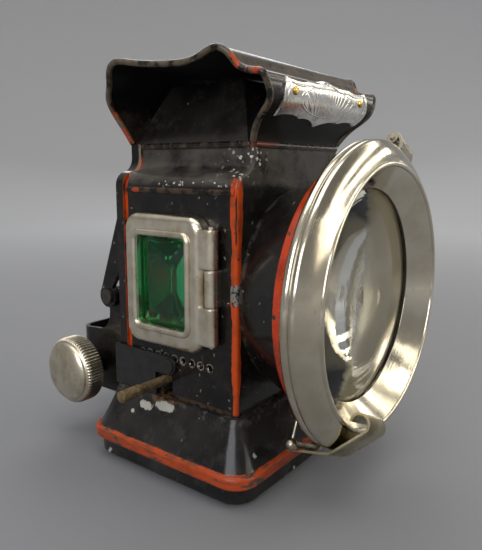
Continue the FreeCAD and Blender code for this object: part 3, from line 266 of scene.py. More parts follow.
def flecks(tree, place, size, share, radius):
    """Separate ragged flecks: cells of a size in millimetres, of which a share holds one fleck.

    The radius is a part of the cell's size. The place is shaken first, so no fleck is round.
    """
    shake = add(tree, "TexNoise", place, 1.6 / size, 3.0, 0.6).node.outputs["Color"]
    shaken = add(tree, "VectorMath", shake, (size * 0.8,) * 3, place, operation="MULTIPLY_ADD")
    cell = add(tree, "TexVoronoi", shaken, 1.0 / size).node
    chance = add(tree, "SeparateXYZ", cell.outputs["Color"])
    kept = edge(tree, chance, 1.0 - share, 1.001 - share)
    return join(tree, "MULTIPLY", kept, edge(tree, cell.outputs["Distance"], radius + 0.05, radius - 0.05))


def facing_in(tree, place, keep):
    """A mask for the inner side of a sheet: its normal points back to an axis of the lamp.

    The axis runs along the direction whose number in keep is 0.
    """
    normal = add(tree, "TexCoord").node.outputs["Normal"]
    outward = add(tree, "VectorMath", place, keep, operation="MULTIPLY")
    along = add(tree, "VectorMath", normal, outward, operation="DOT_PRODUCT").node.outputs["Value"]
    return edge(tree, along, -1.0, -3.0)


print("masks come from", [tool.__name__ for tool in (edge, between, away, grain, flecks, facing_in)])

# %% [markdown]
# ## Coats and relief
#
# A worn surface is a ground with coats laid over it in order, as a painter would. Each coat brings
# its own colour, roughness and metal. The relief starts from a Bevel node, which rounds sharp sheet
# edges for the light only, and stacks bumps on it whose heights are real millimetres.

# %% Coats and relief
EDGE_ROUND = 0.25


def cover(tree, mask, under, over, **kind):
    """Put one value over another where the mask is 1. Equal values need no node."""
    return under if under == over else add(tree, "Mix", mask, under, over, **kind)


def lay(tree, colour, rough, metal, layers=()):
    """Lay coats over a ground. Each coat is (mask, colour, roughness, metal)."""
    for mask, layer_colour, layer_rough, layer_metal in layers:
        colour = cover(tree, mask, colour, layer_colour, data_type="RGBA")
        rough = cover(tree, mask, rough, layer_rough)
        metal = cover(tree, mask, metal, layer_metal)
    feed(tree, Base_Color=colour, Roughness=rough, Metallic=metal)


def bump(tree, *heights, rounded=EDGE_ROUND):
    """Stack heights on the surface. Each is (height from 0 to 1, its full size in millimetres)."""
    normal = add(tree, "Bevel", rounded * MM, samples=4) if rounded else None
    for height, size in heights:
        made = add(tree, "Bump").node
        made.inputs["Distance"].default_value = size * MM
        tree.links.new(height, made.inputs["Height"])
        if normal is not None:
            tree.links.new(normal, made.inputs["Normal"])
        normal = made.outputs["Normal"]
    feed(tree, Normal=normal)


def tones(tree, mask, first, second):
    """A ground that goes from one screen colour to another with a mask."""
    return add(tree, "Mix", mask, srgb(first), srgb(second), data_type="RGBA")


print("sheet edges are rounded by", EDGE_ROUND, "mm")

# %% [markdown]
# ## Camera
#
# The camera stands where the photographer stood: to the front left of the lamp, a little above it
# and only about 19 cm from its middle, so that near edges look large. Its place, turn and lens were
# found by matching corners of the lamp to the same corners in the photo. A long lens from further
# away would be easier to aim, but it would flatten the lamp.

# %% Camera
# the eye's place in millimetres, and the turns in degrees
eye = Vector((-151.465, -115.98, 93.103)) * MM
yaw, pitch, roll = 52.949, -10.452, -0.301
camera_data = bpy.data.cameras.new("camera")
camera_data.sensor_width = 36.0
camera_data.lens = 37.61
camera_data.clip_start = 0.005
camera = bpy.data.objects.new("camera", camera_data)
camera.location = eye
camera.rotation_euler = Euler([math.radians(v) for v in (90 + pitch, roll, -yaw)])
scene.collection.objects.link(camera)
scene.camera = camera
scene.view_settings.view_transform = "Standard"
print("camera at", [round(v, 3) for v in eye])

# %% [markdown]
# ## Light
#
# Nickel and glass only look real when they have something to reflect. A broad soft lamp hangs
# overhead, softer ones stand to the front left, in front and behind to the right, and three long
# tubes to the right give the nickel its bright bars. A photographed room could light the lamp too,
# but plain lamps are easier to move and to understand.

# %% Lights
middle = Vector((0, -10, 60)) * MM


def area_light(name, place, size, power, colour):
    """Hang a rectangular lamp at a place in metres, facing the middle of the object."""
    data = bpy.data.lights.new(name, "AREA")
    data.shape = "RECTANGLE"
    data.size, data.size_y = size
    data.energy = power
    data.color = srgb(colour)[:3]
    lamp = bpy.data.objects.new(name, data)
    lamp.location = place
    lamp.rotation_euler = (middle - Vector(place)).to_track_quat("-Z", "Y").to_euler()
    scene.collection.objects.link(lamp)


area_light("overhead", (-0.1, -0.05, 0.95), (0.9, 0.7), 4.2, "FFFDFA")
area_light("front_left", (-0.8, -0.2, 0.42), (0.6, 0.5), 4.2, "F8F9FF")
area_light("back_right", (0.6, 0.5, 0.65), (0.6, 0.6), 3.0, "FFFFFF")
area_light("front", (0.2, -0.9, 0.4), (0.5, 0.4), 1.4, "FFF8E6")
for k in range(3):
    area_light(f"tube_{k}", (0.6, -0.6, 0.3 + 0.2 * k), (1.1, 0.08), 1.1, "FFFAEA")

# %% [markdown]
# ## Room
#
# The room itself is a plain grey that is paler above. It is darker toward the front right, so that
# the round nickel door has a dark side as well as a light one. An even grey would be simpler, but
# round metal looks flat in it.

# %% Room
DARK_SIDE = (0.55, -0.83, 0.0)
world = bpy.data.worlds.new("room")
world.use_nodes = True
scene.world = world
room = world.node_tree
direction = add(room, "TexCoord")
skyward = add(room, "SeparateXYZ", direction).node.outputs["Z"]
daylight = tones(room, edge(room, skyward, -0.2, 0.9), "8F8E8D", "F0EFEC")
aside = add(room, "VectorMath", direction, DARK_SIDE, operation="DOT_PRODUCT").node.outputs["Value"]
shade = edge(room, aside, 0.2, 0.9)
walls = room.nodes["Background"]
room.links.new(cover(room, shade, daylight, srgb("6A6967"), data_type="RGBA"), walls.inputs["Color"])
walls.inputs["Strength"].default_value = 0.6
print("room light:", walls.inputs["Strength"].default_value)

# %% [markdown]
# ## Floor
#
# The floor is matt grey paper: flat under the lamp, then curved up all round into a low wall, so the lamp
# has the same plain ground from every side. A flat sheet would be simpler, but its edge would show. Paper
# far from the lamps gets less light, so its colour is painted paler toward the wall and darker near the
# lamp, like a photographer's graduated paper: painted light and shade that even out the fall of the lamps'
# light.

# %% Floor that sweeps up all round
FLAT, SWEEP, WALL, DROP = 900.0, 600.0, 900.0, 0.02
GRADE_START, GRADE_END = 100.0, 1300.0
bend = np.linspace(0, np.pi / 2, 24)
floor_reach = np.concatenate([[0.0], FLAT + SWEEP * np.sin(bend), [FLAT + SWEEP]])
floor_rise = np.concatenate([[0.0], SWEEP * (1 - np.cos(bend)), [WALL]])
around = np.linspace(0, 2 * np.pi, 96, endpoint=False)
sheet = np.stack([
    floor_reach[:, None] * np.cos(around),
    floor_reach[:, None] * np.sin(around),
    np.repeat(floor_rise[:, None], len(around), axis=1) - DROP,
], axis=-1)

# matt paper: one soft tone, painted darker near the lamp and paler outward against the fall of light, with
# a trace of tooth
paper, tree, place = new_material("grey_backdrop_paper")
from_middle = away(tree, place, (0.0, 0.0, 0.0), (1.0, 1.0, 0.0))
painted_falloff = edge(tree, from_middle, GRADE_START, GRADE_END)
lay(tree, tones(tree, painted_falloff, "77787B", "BEBFC2"), 0.85, 0.0)
bump(tree, (add(tree, "TexNoise", place, 1.0 / 1.5, 2.0, 0.5), 0.02), rounded=0.0)
floor = grid_mesh("floor", sheet, paper, closed=(False, True))
floor.data.shade_smooth()
print("floor faces:", len(floor.data.polygons))

# %% [markdown]
# ## Black japan
#
# The body is tinned sheet dipped in black asphalt varnish and baked: deep black, glossy where it
# is whole, dusty brown-grey where a century of handling has rubbed it, and chipped to pale metal
# on the beads and corners. The ground colour, the rub and the chips come from noise of different
# sizes. Each piece then adds its own marks, worked out from where they are on the lamp. A picture of
# old paint could be wrapped round the parts, but noise measured in millimetres fits all of them
# without a seam.

# %% Ground coat and shared wear
# bare steel, pale chips, rusty brown and the bright tin of the inside
BARE, CHIP = srgb("A9A59C"), srgb("C2BFB7")
RUST, TIN = srgb("54422F"), srgb("E6DAB8")


def red_coat(tree, place):
    """Lining red with darker, dirtier patches."""
    return tones(tree, grain(tree, place, 5.0, 0.42, 0.75), "B8430F", "84350F")


def japan(name, marks=None, rub=0.4, deep="0E0C0B", thin="1D1A18", dent=0.3):
    """Black japan: a cloudy ground, dusty rubs, fine scuffs and specks, and marks(tree, place).

    The dents in the sheet are as deep as dent, in millimetres.
    """
    material, tree, place = new_material(name)
    cloud = grain(tree, place, 14.0, 0.35, 0.7)
    haze = grain(tree, place, 5.0, 0.48, 0.8, detail=8.0)
    upright = add(tree, "VectorMath", place, (1.0, 1.0, 0.14), operation="MULTIPLY")
    streaks = grain(tree, upright, 1.0, 0.64, 0.74)
    patches = grain(tree, place, 16.0, 0.48, 0.64)
    layers = [
        (join(tree, "MULTIPLY", haze, rub), srgb("3A352F"), 0.46, 0.0),
        (join(tree, "MULTIPLY", streaks, patches, 0.4), srgb("5C564C"), 0.42, 0.0),
        (flecks(tree, place, 3.2, 0.22, 0.10), srgb("7A7468"), 0.5, 0.0),
    ]
    if marks:
        layers += marks(tree, place)
    gloss = add(tree, "MapRange", haze, 0.0, 1.0, 0.22, 0.36)
    lay(tree, tones(tree, cloud, deep, thin), gloss, 0.0, layers)
    feed(tree, Specular_IOR_Level=0.24, Coat_Weight=0.2, Coat_Roughness=0.1)
    orange_peel = add(tree, "TexNoise", place, 1.0 / 1.8, 3.0, 0.5)
    dents = add(tree, "TexNoise", place, 1.0 / 15.0, 2.0, 0.5)
    bump(tree, (dents, dent), (orange_peel, 0.02))
    return material


# asphalt varnish baked on tin: near black, with a deep gloss that handling has dulled in clouds
plain_japan = japan("black_japan")
print("ground coat:", plain_japan.name)

# %% [markdown]
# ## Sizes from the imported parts
#
# Lines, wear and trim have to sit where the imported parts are. Their places could be copied from a
# drawing, but when they are read from the parts' own boxes, they stay right if a part is changed.

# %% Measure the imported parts
def measure(name):
    """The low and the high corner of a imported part's box, to a thousandth of a millimetre."""
    mesh = nodes[name].data
    points = np.empty(3 * len(mesh.vertices))
    mesh.vertices.foreach_get("co", points)
    points = points.reshape(-1, 3) / MM
    return np.round(points.min(axis=0), 3), np.round(points.max(axis=0), 3)


# the back is as wide as the body, and the barrel starts at the body's front
HALF_BODY, BODY_BACK, _ = measure("back_plate")[1]
BODY_FRONT = measure("front_barrel")[1][1]
lens_low, lens_high = measure("lens")
LENS_RADIUS, LENS_HEIGHT = lens_high[0], (lens_low[2] + lens_high[2]) / 2
print("body is", 2 * HALF_BODY, "mm wide, and the lens is", LENS_HEIGHT, "mm up")

# %% [markdown]
# ## Red lines on the body
#
# A brush laid a red line round each front corner, two thin lines at the top that run together
# lower down, and something has scraped it bare half way up. The line could be a strip of mesh, but
# as a mask it stays in the paint, wavers like brushwork and wears away with it.

# %% Red corner lines
STRIPE, STRIPE_ENDS = 2.15, (28.5, 94.5)
SCRAPE, SPLIT = (61.0, 65.0), (73.0, 86.0)


def body_stripe(tree, place, wide, y, z):
    """Masks of the red corner line and of its scraped patch.

    The distance round the corner is plus on the side and minus on the front. The line is where it
    is smaller than half the line's width, which swells with noise and thins toward the foot.
    """
    shake = add(tree, "TexNoise", place, 1.0 / 4.0, 3.0, 0.6)
    swell = add(tree, "TexNoise", place, 1.0 / 11.0, 2.0, 0.5)
    round_side = join(tree, "SUBTRACT", y, BODY_FRONT)
    round_front = join(tree, "SUBTRACT", wide, HALF_BODY)
    corner = join(tree, "ADD", round_side, round_front, shake)
    thinner = join(tree, "MULTIPLY", edge(tree, z, 62.0, 28.0), 0.7)
    spread = join(tree, "SUBTRACT", join(tree, "ADD", swell, swell, STRIPE - 1.0), thinner)
    off_line = add(tree, "Math", join(tree, "SUBTRACT", corner, 0.5), operation="ABSOLUTE")
    line = edge(tree, join(tree, "SUBTRACT", off_line, spread), 0.12, -0.12)
    ragged = join(tree, "ADD", z, join(tree, "MULTIPLY", shake, 8.0))
    line = join(tree, "MULTIPLY", line, between(tree, ragged, *STRIPE_ENDS, 0.3))
    split = join(tree, "MULTIPLY", between(tree, corner, 0.6, 1.2, 0.1), between(tree, z, *SPLIT, 1.0))
    bare = between(tree, ragged, *SCRAPE, 0.4)
    lost = join(tree, "MAXIMUM", split, bare, grain(tree, place, 2.2, 0.66, 0.72, detail=6.0))
    kept = join(tree, "SUBTRACT", 1.0, lost)
    worn = join(tree, "MULTIPLY", bare, grain(tree, place, 1.1, 0.40, 0.50))
    return join(tree, "MULTIPLY", line, kept), join(tree, "MULTIPLY", line, worn)


print("red lines are", 2 * STRIPE, "mm wide")

# %% [markdown]
# ## Worn beads, hole rims and chips
#
# The beads pressed across the shoulders stand proud, so they have lost their paint. The row of air
# holes shows bright rims where the punch broke the coat, and chips crowd on the neck's front
# corner. All of these follow from the lamp's own sizes, so each is a mask of places times noise.

# %% Beads, holes and chips
HOLE_PITCH, HOLE_RADIUS, HOLE_ROW, ROW_END = 3.45, 1.05, 36.5, 15.5
SHOULDER_BEAD, NECK_BEAD = (85.9, 88.2), (98.8, 100.8)
LEDGE, NECK_CORNER = (88.4, 89.9), (-26.5, -22.0, 95.0)


def hole_rims(tree, place, wide, y, z):
    """Rings round the air holes: the distance to the nearest hole repeats along the row."""
    along = join(tree, "PINGPONG", join(tree, "ADD", y, HOLE_PITCH * 4), HOLE_PITCH / 2)
    up = join(tree, "SUBTRACT", z, HOLE_ROW)
    reach = away(tree, add(tree, "CombineXYZ", along, up, 0.0), (0.0, 0.0, 0.0))
    ring = between(tree, reach, HOLE_RADIUS - 0.4, HOLE_RADIUS + 0.28, 0.1)
    row = between(tree, y, -ROW_END, ROW_END, 0.1)
    side = between(tree, wide, HALF_BODY - 1.7, HALF_BODY + 0.8, 0.1)
    return join(tree, "MULTIPLY", ring, row, side, grain(tree, place, 1.2, 0.42, 0.52))


def body_chips(tree, place, y, z):
    """Flecks on the neck's front corner, on the ledge above the bead and beside the red line."""
    corner = edge(tree, away(tree, place, NECK_CORNER, (0.1, 0.12, 0.16)), 1.2, 0.5)
    ledge = join(tree, "MULTIPLY", between(tree, z, *LEDGE, 0.3), between(tree, y, -21.0, 8.0, 4.0))
    beside = join(tree, "MULTIPLY", between(tree, y, -21.4, -18.6, 0.6), between(tree, z, 50.0, 84.0, 6.0))
    crowd = join(tree, "MULTIPLY", flecks(tree, place, 1.5, 0.5, 0.34), corner)
    row = join(tree, "MULTIPLY", flecks(tree, place, 1.3, 0.4, 0.28), ledge)
    nicks = join(tree, "MULTIPLY", flecks(tree, place, 1.6, 0.3, 0.22), beside)
    return join(tree, "MAXIMUM", crowd, row, nicks)


print("air holes are", HOLE_PITCH, "mm apart")

# %% [markdown]
# ## Body paint
#
# The marks are laid over the ground coat in order: rubbed paint with a painted sheen on the shoulders and
# wear first, then the red, then scrapes and chips through it. The inside of the sheet was left bright with
# tin, so that it throws the flame's light forward.

# %% Body paint
# a drop of red on the rear end of the shoulder bead
RED_DROP = (-32.0, 14.6, 86.8)


def body_marks(tree, place):
    """Worn beads, rubbed shoulders with a painted sheen, red corner lines, bright hole rims, chips, rust
    and the tinned inside.
    """
    x, y, z = add(tree, "SeparateXYZ", place).node.outputs
    wide = add(tree, "Math", x, operation="ABSOLUTE")
    stripe, scraped = body_stripe(tree, place, wide, y, z)
    proud = edge(tree, wide, HALF_BODY, HALF_BODY + 0.2)
    shoulder = join(tree, "MULTIPLY", between(tree, z, *SHOULDER_BEAD, 0.25), proud)
    neck = between(tree, z, *NECK_BEAD, 0.2)
    beads = join(tree, "MAXIMUM", shoulder, neck)
    rubbed = join(tree, "MULTIPLY", beads, grain(tree, place, 4.0, 0.46, 0.62), 0.75)
    # partly rubbed paint, partly a painted highlight: the shoulders from 88.5 to 99 mm are painted a
    # lighter grey where they catch the overhead light
    cloud = grain(tree, place, 8.0, 0.25, 0.7, detail=8.0)
    shoulder_rub_and_sheen = join(tree, "MULTIPLY", between(tree, z, 88.5, 99.0, 1.0), cloud, 0.75)
    foot = join(tree, "MULTIPLY", edge(tree, z, 25.6, 24.4), grain(tree, place, 2.0, 0.4, 0.6))
    drop = edge(tree, away(tree, place, RED_DROP, (1.0, 0.6, 1.0)), 1.4, 1.0)
    red = join(tree, "MAXIMUM", stripe, join(tree, "MULTIPLY", drop, 0.8))
    ahead = edge(tree, y, BODY_FRONT + 0.9, BODY_FRONT + 0.5)
    brow = join(tree, "MULTIPLY", neck, ahead, edge(tree, x, -10.0, -18.0), 0.8)
    inner = join(tree, "MULTIPLY", facing_in(tree, place, (1.0, 1.0, 0.0)), edge(tree, z, 38.5, 40.0))
    return [
        (shoulder_rub_and_sheen, srgb("57524B"), 0.4, 0.0),
        (rubbed, RUST, 0.5, 0.3),
        (foot, srgb("43352A"), 0.7, 0.0),
        (red, red_coat(tree, place), 0.42, 0.0),
        (scraped, srgb("85827A"), 0.45, 0.3),
        (hole_rims(tree, place, wide, y, z), BARE, 0.35, 0.7),
        (brow, srgb("5E2A12"), 0.45, 0.0),
        (body_chips(tree, place, y, z), CHIP, 0.5, 0.2),
        (inner, TIN, 0.4, 0.4),
    ]


# the same varnish, lined with red and worn through on everything that stands proud
body_paint = japan("black_japan_body", body_marks)
print("body paint:", body_paint.name)

# %% [markdown]
# ## Back and barrel paint
#
# The groove between the wrapped sheet and the back was filled with red. The barrel behind the lens
# is black outside and bright with tin inside. One sheet has both sides, so two materials would mean
# sorting its faces, while the direction of its normal tells them apart at once.

# %% Back and barrel
SEAM, HALF_INSIDE = BODY_BACK - 3.2, HALF_BODY - 2.7


def back_marks(tree, place):
    """Red in the seam groove, wear on the edge behind it, and tin on the inside."""
    x, y, z = add(tree, "SeparateXYZ", place).node.outputs
    seam = join(tree, "MULTIPLY", between(tree, y, 10.0, SEAM, 0.1), between(tree, z, 30.0, 95.0, 3.0))
    groove = join(tree, "MULTIPLY", seam, grain(tree, place, 4.0, 0.66, 0.5))
    behind = between(tree, y, SEAM - 0.2, SEAM + 0.5, 0.2)
    worn = join(tree, "MULTIPLY", behind, grain(tree, place, 2.0, 0.55, 0.7))
    forward = facing_in(tree, place, (0.0, 1.0, 0.0))
    inside = join(tree, "MULTIPLY", forward, between(tree, x, -HALF_INSIDE, HALF_INSIDE, 0.2))
    return [
        (groove, red_coat(tree, place), 0.5, 0.0),
        (worn, RUST, 0.5, 0.3),
        (inside, TIN, 0.4, 0.35),
    ]


def barrel_marks(tree, place):
    """Bright tin inside, and a rubbed line round the root."""
    # inner faces turn to a point on the lens axis well ahead of the lamp
    centred = add(tree, "VectorMath", place, (0.0, -60.0, LENS_HEIGHT), operation="SUBTRACT")
    y = add(tree, "SeparateXYZ", place).node.outputs["Y"]
    behind = edge(tree, y, BODY_FRONT - 2.8, BODY_FRONT - 0.8)
    root = join(tree, "MULTIPLY", behind, grain(tree, place, 3.0, 0.4, 0.6))
    return [
        (join(tree, "MULTIPLY", root, 0.5), srgb("5C564C"), 0.5, 0.0),
        (facing_in(tree, centred, (1.0, 1.0, 1.0)), TIN, 0.3, 0.3),
    ]


# the same varnish: worn along the seam of the back, and nearly whole on the barrel
back_paint = japan("black_japan_back", back_marks)
barrel_paint = japan("black_japan_barrel", barrel_marks, rub=0.2)
print("paints:", back_paint.name, barrel_paint.name)

# %% [markdown]
# ## Hood and flue paint
#
# The hood's roof is rubbed to a grey brown, with a painted sheen where it faces up, and speckled with
# rust, and its underside is painted near black as shade. Both follow from how steeply a face looks up or
# down, so the normal's upward part is the mask.

# %% Hood and flue
def hood_marks(tree, place):
    """A rubbed, speckled roof with a painted sheen, painted shade under the sheet and rust along the front
    foot.
    """
    normal = add(tree, "TexCoord").node.outputs["Normal"]
    facing = add(tree, "SeparateXYZ", normal).node.outputs["Z"]
    z = add(tree, "SeparateXYZ", place).node.outputs["Z"]
    upward = edge(tree, facing, 0.1, 0.6)
    # partly rubbed paint, partly a painted highlight: faces that look up are painted a lighter grey brown
    roof_rub_and_sheen = join(tree, "MULTIPLY", upward, grain(tree, place, 5.0, 0.2, 0.7, detail=10.0))
    brow = join(tree, "MULTIPLY", between(tree, z, 113.0, 123.0, 2.0), grain(tree, place, 2.5, 0.54, 0.64))
    foot = join(tree, "MULTIPLY", between(tree, z, 100.0, 102.4, 0.5), grain(tree, place, 5.0, 0.46, 0.6))
    return [
        (join(tree, "MULTIPLY", brow, 0.45), srgb("5A4F42"), 0.5, 0.0),
        (join(tree, "MULTIPLY", roof_rub_and_sheen, 0.8), srgb("52473B"), 0.46, 0.0),
        (join(tree, "MULTIPLY", roof_rub_and_sheen, flecks(tree, place, 2.2, 0.3, 0.26)), srgb("2C241C"), 0.6, 0.0),
        (foot, srgb("4A2412"), 0.55, 0.0),
        # painted shade: faces that look down, under the hood's sheet, are painted near black
        (edge(tree, facing, -0.05, -0.3), srgb("050505"), 0.75, 0.0),
    ]


# the same varnish: rubbed brown with a painted sheen on top and painted shade beneath on the hood, thinner
# and greyer on the hot flue
hood_paint = japan("black_japan_hood", hood_marks)
flue_paint = japan("black_japan_flue", rub=0.6, deep="151312", thin="272421")
print("paints:", hood_paint.name, flue_paint.name)

# %% [markdown]
# ## Font paint
#
# The font is the piece that hands hold to fill and light the lamp. Its paint is the thinnest, rubbed
# to a glossy grey, and oil has run from the winder's hole. Its rim carries a broad red band over a
# black tray. The band is a mask of heights, and its scratches are noise drawn out along the rim.

# %% Font paint
font_foot = measure("font_shell")[0][2]
RED_BAND = (font_foot + 0.8, font_foot + 5.0)
# bare spots on the green side: centre, half length and half height
FONT_SPOTS = [
    ((-34.0, 9.4, 20.2), 3.0, 1.3),
    ((-34.0, 2.0, 21.6), 4.2, 1.5),
    ((-36.0, 14.5, 17.5), 0.8, 0.6),
]


def font_marks(tree, place):
    """The red rim band with its scratches, chips on the flare, and oil under the winder."""
    z = add(tree, "SeparateXYZ", place).node.outputs["Z"]
    shake = add(tree, "TexNoise", place, 1.0 / 4.0, 3.0, 0.6)
    band = between(tree, join(tree, "ADD", z, shake), *RED_BAND, 0.15)
    lengthwise = add(tree, "VectorMath", place, (0.08, 0.08, 1.0), operation="MULTIPLY")
    scratches = join(tree, "MULTIPLY", grain(tree, lengthwise, 0.55, 0.56, 0.64, detail=2.0), 0.75)
    stretched = add(tree, "VectorMath", place, (0.4, 0.4, 1.0), operation="MULTIPLY")
    lost = join(tree, "MAXIMUM", scratches, grain(tree, stretched, 3.0, 0.59, 0.62, detail=6.0))
    kept = join(tree, "SUBTRACT", 1.0, lost)
    chips = flecks(tree, place, 4.0, 0.10, 0.2)
    tear = add(tree, "TexNoise", place, 1.0 / 1.6, 4.0, 0.7)
    for centre, long, tall in FONT_SPOTS:
        reach = away(tree, place, centre, (0.1, 1 / long, 1 / tall))
        ragged = join(tree, "ADD", reach, tear, tear)
        chips = join(tree, "MAXIMUM", chips, edge(tree, ragged, 2.0, 1.85))
    shelf = join(tree, "MULTIPLY", between(tree, z, 21.5, 24.2, 0.8), grain(tree, place, 3.0, 0.5, 0.62))
    oil_reach = away(tree, place, (-31.0, 2.5, 23.0), (0.2, 0.16, 0.5))
    oil = join(tree, "MULTIPLY", edge(tree, oil_reach, 1.2, 0.5), grain(tree, place, 2.4, 0.38, 0.6))
    return [
        (join(tree, "MULTIPLY", shelf, 0.5), srgb("5A554E"), 0.5, 0.0),
        (join(tree, "MULTIPLY", oil, 0.85), srgb("6B4A22"), 0.6, 0.0),
        (band, srgb("4A443C"), 0.45, 0.2),
        (join(tree, "MULTIPLY", band, kept, 0.85), red_coat(tree, place), 0.4, 0.0),
        (chips, srgb("A8A69C"), 0.55, 0.0),
    ]


# thin varnish over dented tin: a greyer, more broken gloss than the body's
font_paint = japan("black_japan_font", font_marks, rub=0.75, deep="171615", thin="2B2927", dent=0.8)
print("font paint:", font_paint.name)

# %% [markdown]
# ## Red enamel
#
# The ring behind the lens door is painted the same red as the lines. It is glossier, because the
# door shuts over it and keeps it from wear, but its outer edge has a few chips. It has no black under
# it, so two tones of red and some dark flecks make a short material of its own.

# %% Red ring
# brushed oil enamel: thick, glossy and a little uneven
red_enamel, tree, place = new_material("red_enamel")
gloss = add(tree, "MapRange", grain(tree, place, 3.0, 0.3, 0.7), 0.0, 1.0, 0.2, 0.34)
shade = tones(tree, grain(tree, place, 9.0, 0.3, 0.7), "BE3808", "8E2A08")
lay(tree, shade, gloss, 0.0, [(flecks(tree, place, 3.0, 0.3, 0.24), srgb("2E201A"), 0.6, 0.0)])
feed(tree, Coat_Weight=0.3, Coat_Roughness=0.08)
bump(tree, (add(tree, "TexNoise", place, 1.0 / 2.5, 3.0, 0.5), 0.05))
print("ring:", red_enamel.name)

# %% [markdown]
# ## Nickel
#
# Nickel plate is a warmer, yellower grey than chrome. Spinning left faint circles on the lens door,
# and age left cloudy tarnish and a net of fine scratches. A plain grey metal would look new, so the
# tint and the roughness follow the tarnish, and the scratches are shallow dents.

# %% Nickel plate
def no_relief(tree, place):
    """No heights: the surface as it is."""
    return []


def nickel(name, bright, dull, smooth, cloudy, size, relief=no_relief, rounded=EDGE_ROUND):
    """Nickel plate: a bright ground, clouds of tarnish about size millimetres wide, scratches.

    The relief function may add heights of its own.
    """
    material, tree, place = new_material(name)
    cloud = grain(tree, place, size, 0.36, 0.72, detail=6.0)
    dirt = join(tree, "MULTIPLY", grain(tree, place, 1.3, 0.64, 0.74), 0.4)
    gloss = add(tree, "MapRange", cloud, 0.0, 1.0, smooth, cloudy)
    lay(tree, tones(tree, cloud, bright, dull), gloss, 1.0, [(dirt, srgb("6A5E4C"), 0.45, 0.7)])
    slanted = add(tree, "VectorMath", place, (1.0, 0.12, 0.35), operation="MULTIPLY")
    scratches = grain(tree, slanted, 0.5, 0.6, 0.66, detail=2.0)
    dents = add(tree, "TexNoise", place, 1.0 / 10.0, 2.0, 0.5)
    bump(tree, (dents, 0.08), (scratches, 0.003), *relief(tree, place), rounded=rounded)
    return material


def spun(tree, place):
    """Faint circles about the lens axis: noise that changes only with the radius and the depth."""
    radius = away(tree, place, (0.0, 0.0, LENS_HEIGHT), (1.0, 0.0, 1.0))
    depth = add(tree, "SeparateXYZ", place).node.outputs["Y"]
    rings = add(tree, "TexNoise", add(tree, "CombineXYZ", radius, depth, 0.0), 1.0 / 0.35, 2.0, 0.6)
    return [(rings, 0.005)]


# spun sheet: mirror bright, its highlights drawn into faint circles
door_nickel = nickel("nickel_spun", "DAD2C1", "BFB5A0", 0.10, 0.2, 16.0, spun)
# pressed sheet: bright with soft round edges
frame_nickel = nickel("nickel_frame", "EBE2CE", "C4B89F", 0.14, 0.3, 6.0, rounded=1.0)
# turned brass under plate: a satin shine, because fingers have dulled it
knob_nickel = nickel("nickel_knob", "DDD3BE", "B5AA92", 0.28, 0.42, 6.0)
# spring strip whose plate has worn yellow
catch_nickel = nickel("nickel_worn_to_brass", "ADA484", "80765A", 0.24, 0.4, 6.0)
# small steel parts with a grey, dull plate
hinge_nickel = nickel("nickel_dulled", "B5AD9C", "8A8271", 0.26, 0.42, 5.0)
nickels = (door_nickel, frame_nickel, knob_nickel, catch_nickel, hinge_nickel)
print("nickels:", [material.name for material in nickels])

# %% [markdown]
# ## Name plate
#
# The plate is bright nickel with a plain sunburst: lines that fan out inside an oval give it the
# broken light of a cut plate. The cuts are a tenth of a millimetre deep, too fine for a mesh, so
# they are relief in the material.

# %% Plate nickel
plate_low, plate_high = measure("name_plate")
PLATE_MIDDLE, PLATE_HALF_TALL = (plate_low[2] + plate_high[2]) / 2, (plate_high[2] - plate_low[2]) / 2
RAYS, RAY_DROP = 46.0, 9.0
OVAL_HALF_WIDE, OVAL_HALF_TALL = 14.5, 3.6


def engraved(tree, place):
    """Rays about a point below the plate, kept inside an oval that a thin line follows."""
    x, _, z = add(tree, "SeparateXYZ", place).node.outputs
    up = join(tree, "SUBTRACT", z, PLATE_MIDDLE - RAY_DROP)
    turn = join(tree, "MULTIPLY", join(tree, "ARCTAN2", x, up), RAYS)
    fan = edge(tree, add(tree, "Math", turn, operation="SINE"), -0.6, 0.6)
    squeeze = (1 / OVAL_HALF_WIDE, 0.0, 1 / OVAL_HALF_TALL)
    oval = away(tree, place, (0.0, 0.0, PLATE_MIDDLE), squeeze)
    rays = join(tree, "MULTIPLY", fan, edge(tree, oval, 1.02, 0.98))
    return [(rays, 0.10), (between(tree, oval, 1.04, 1.10, 0.02), 0.08)]


# struck plate: the whitest nickel on the lamp, with cut lines that catch the light
plate_nickel = nickel("nickel_plate", "E9E7E3", "C6C3BD", 0.18, 0.32, 4.0, engraved)
print("plate:", plate_nickel.name)

# %% [markdown]
# ## Steel, brass and silver
#
# The strap is smooth blackened steel, and the rivets and the clamp are dull dark steel. The winder
# and the burner are brass gone brown, with rust from the steel around them. The reflector behind
# the flame is silvered and nearly a mirror. They all age in the same way, in clouds, stains and pits,
# so one function makes them from their own tones.

# %% Other metals
def old_metal(name, bright, dull, stain, smooth, cloudy, metal, pits=0.06):
    """A worn metal: two tones in clouds, stains in spots and pits of a depth in millimetres."""
    material, tree, place = new_material(name)
    cloud = grain(tree, place, 4.0, 0.35, 0.7, detail=6.0)
    spots = join(tree, "MULTIPLY", grain(tree, place, 1.0, 0.56, 0.66), 0.7)
    gloss = add(tree, "MapRange", cloud, 0.0, 1.0, smooth, cloudy)
    lay(tree, tones(tree, cloud, bright, dull), gloss, metal, [(spots, srgb(stain), 0.65, metal * 0.4)])
    bump(tree, (add(tree, "TexNoise", place, 1.0 / 0.8, 4.0, 0.6), pits))
    return material


# rolled strap, blackened in oil: smooth, dark and barely shiny
strap_steel = old_metal("blackened_strap_steel", "2B2A29", "201F1E", "383532", 0.34, 0.42, 0.3, pits=0.02)
# forged rivets and pin: dull dark grey
dark_steel = old_metal("dark_steel", "4A4744", "2E2C2A", "3A332C", 0.4, 0.55, 0.6)
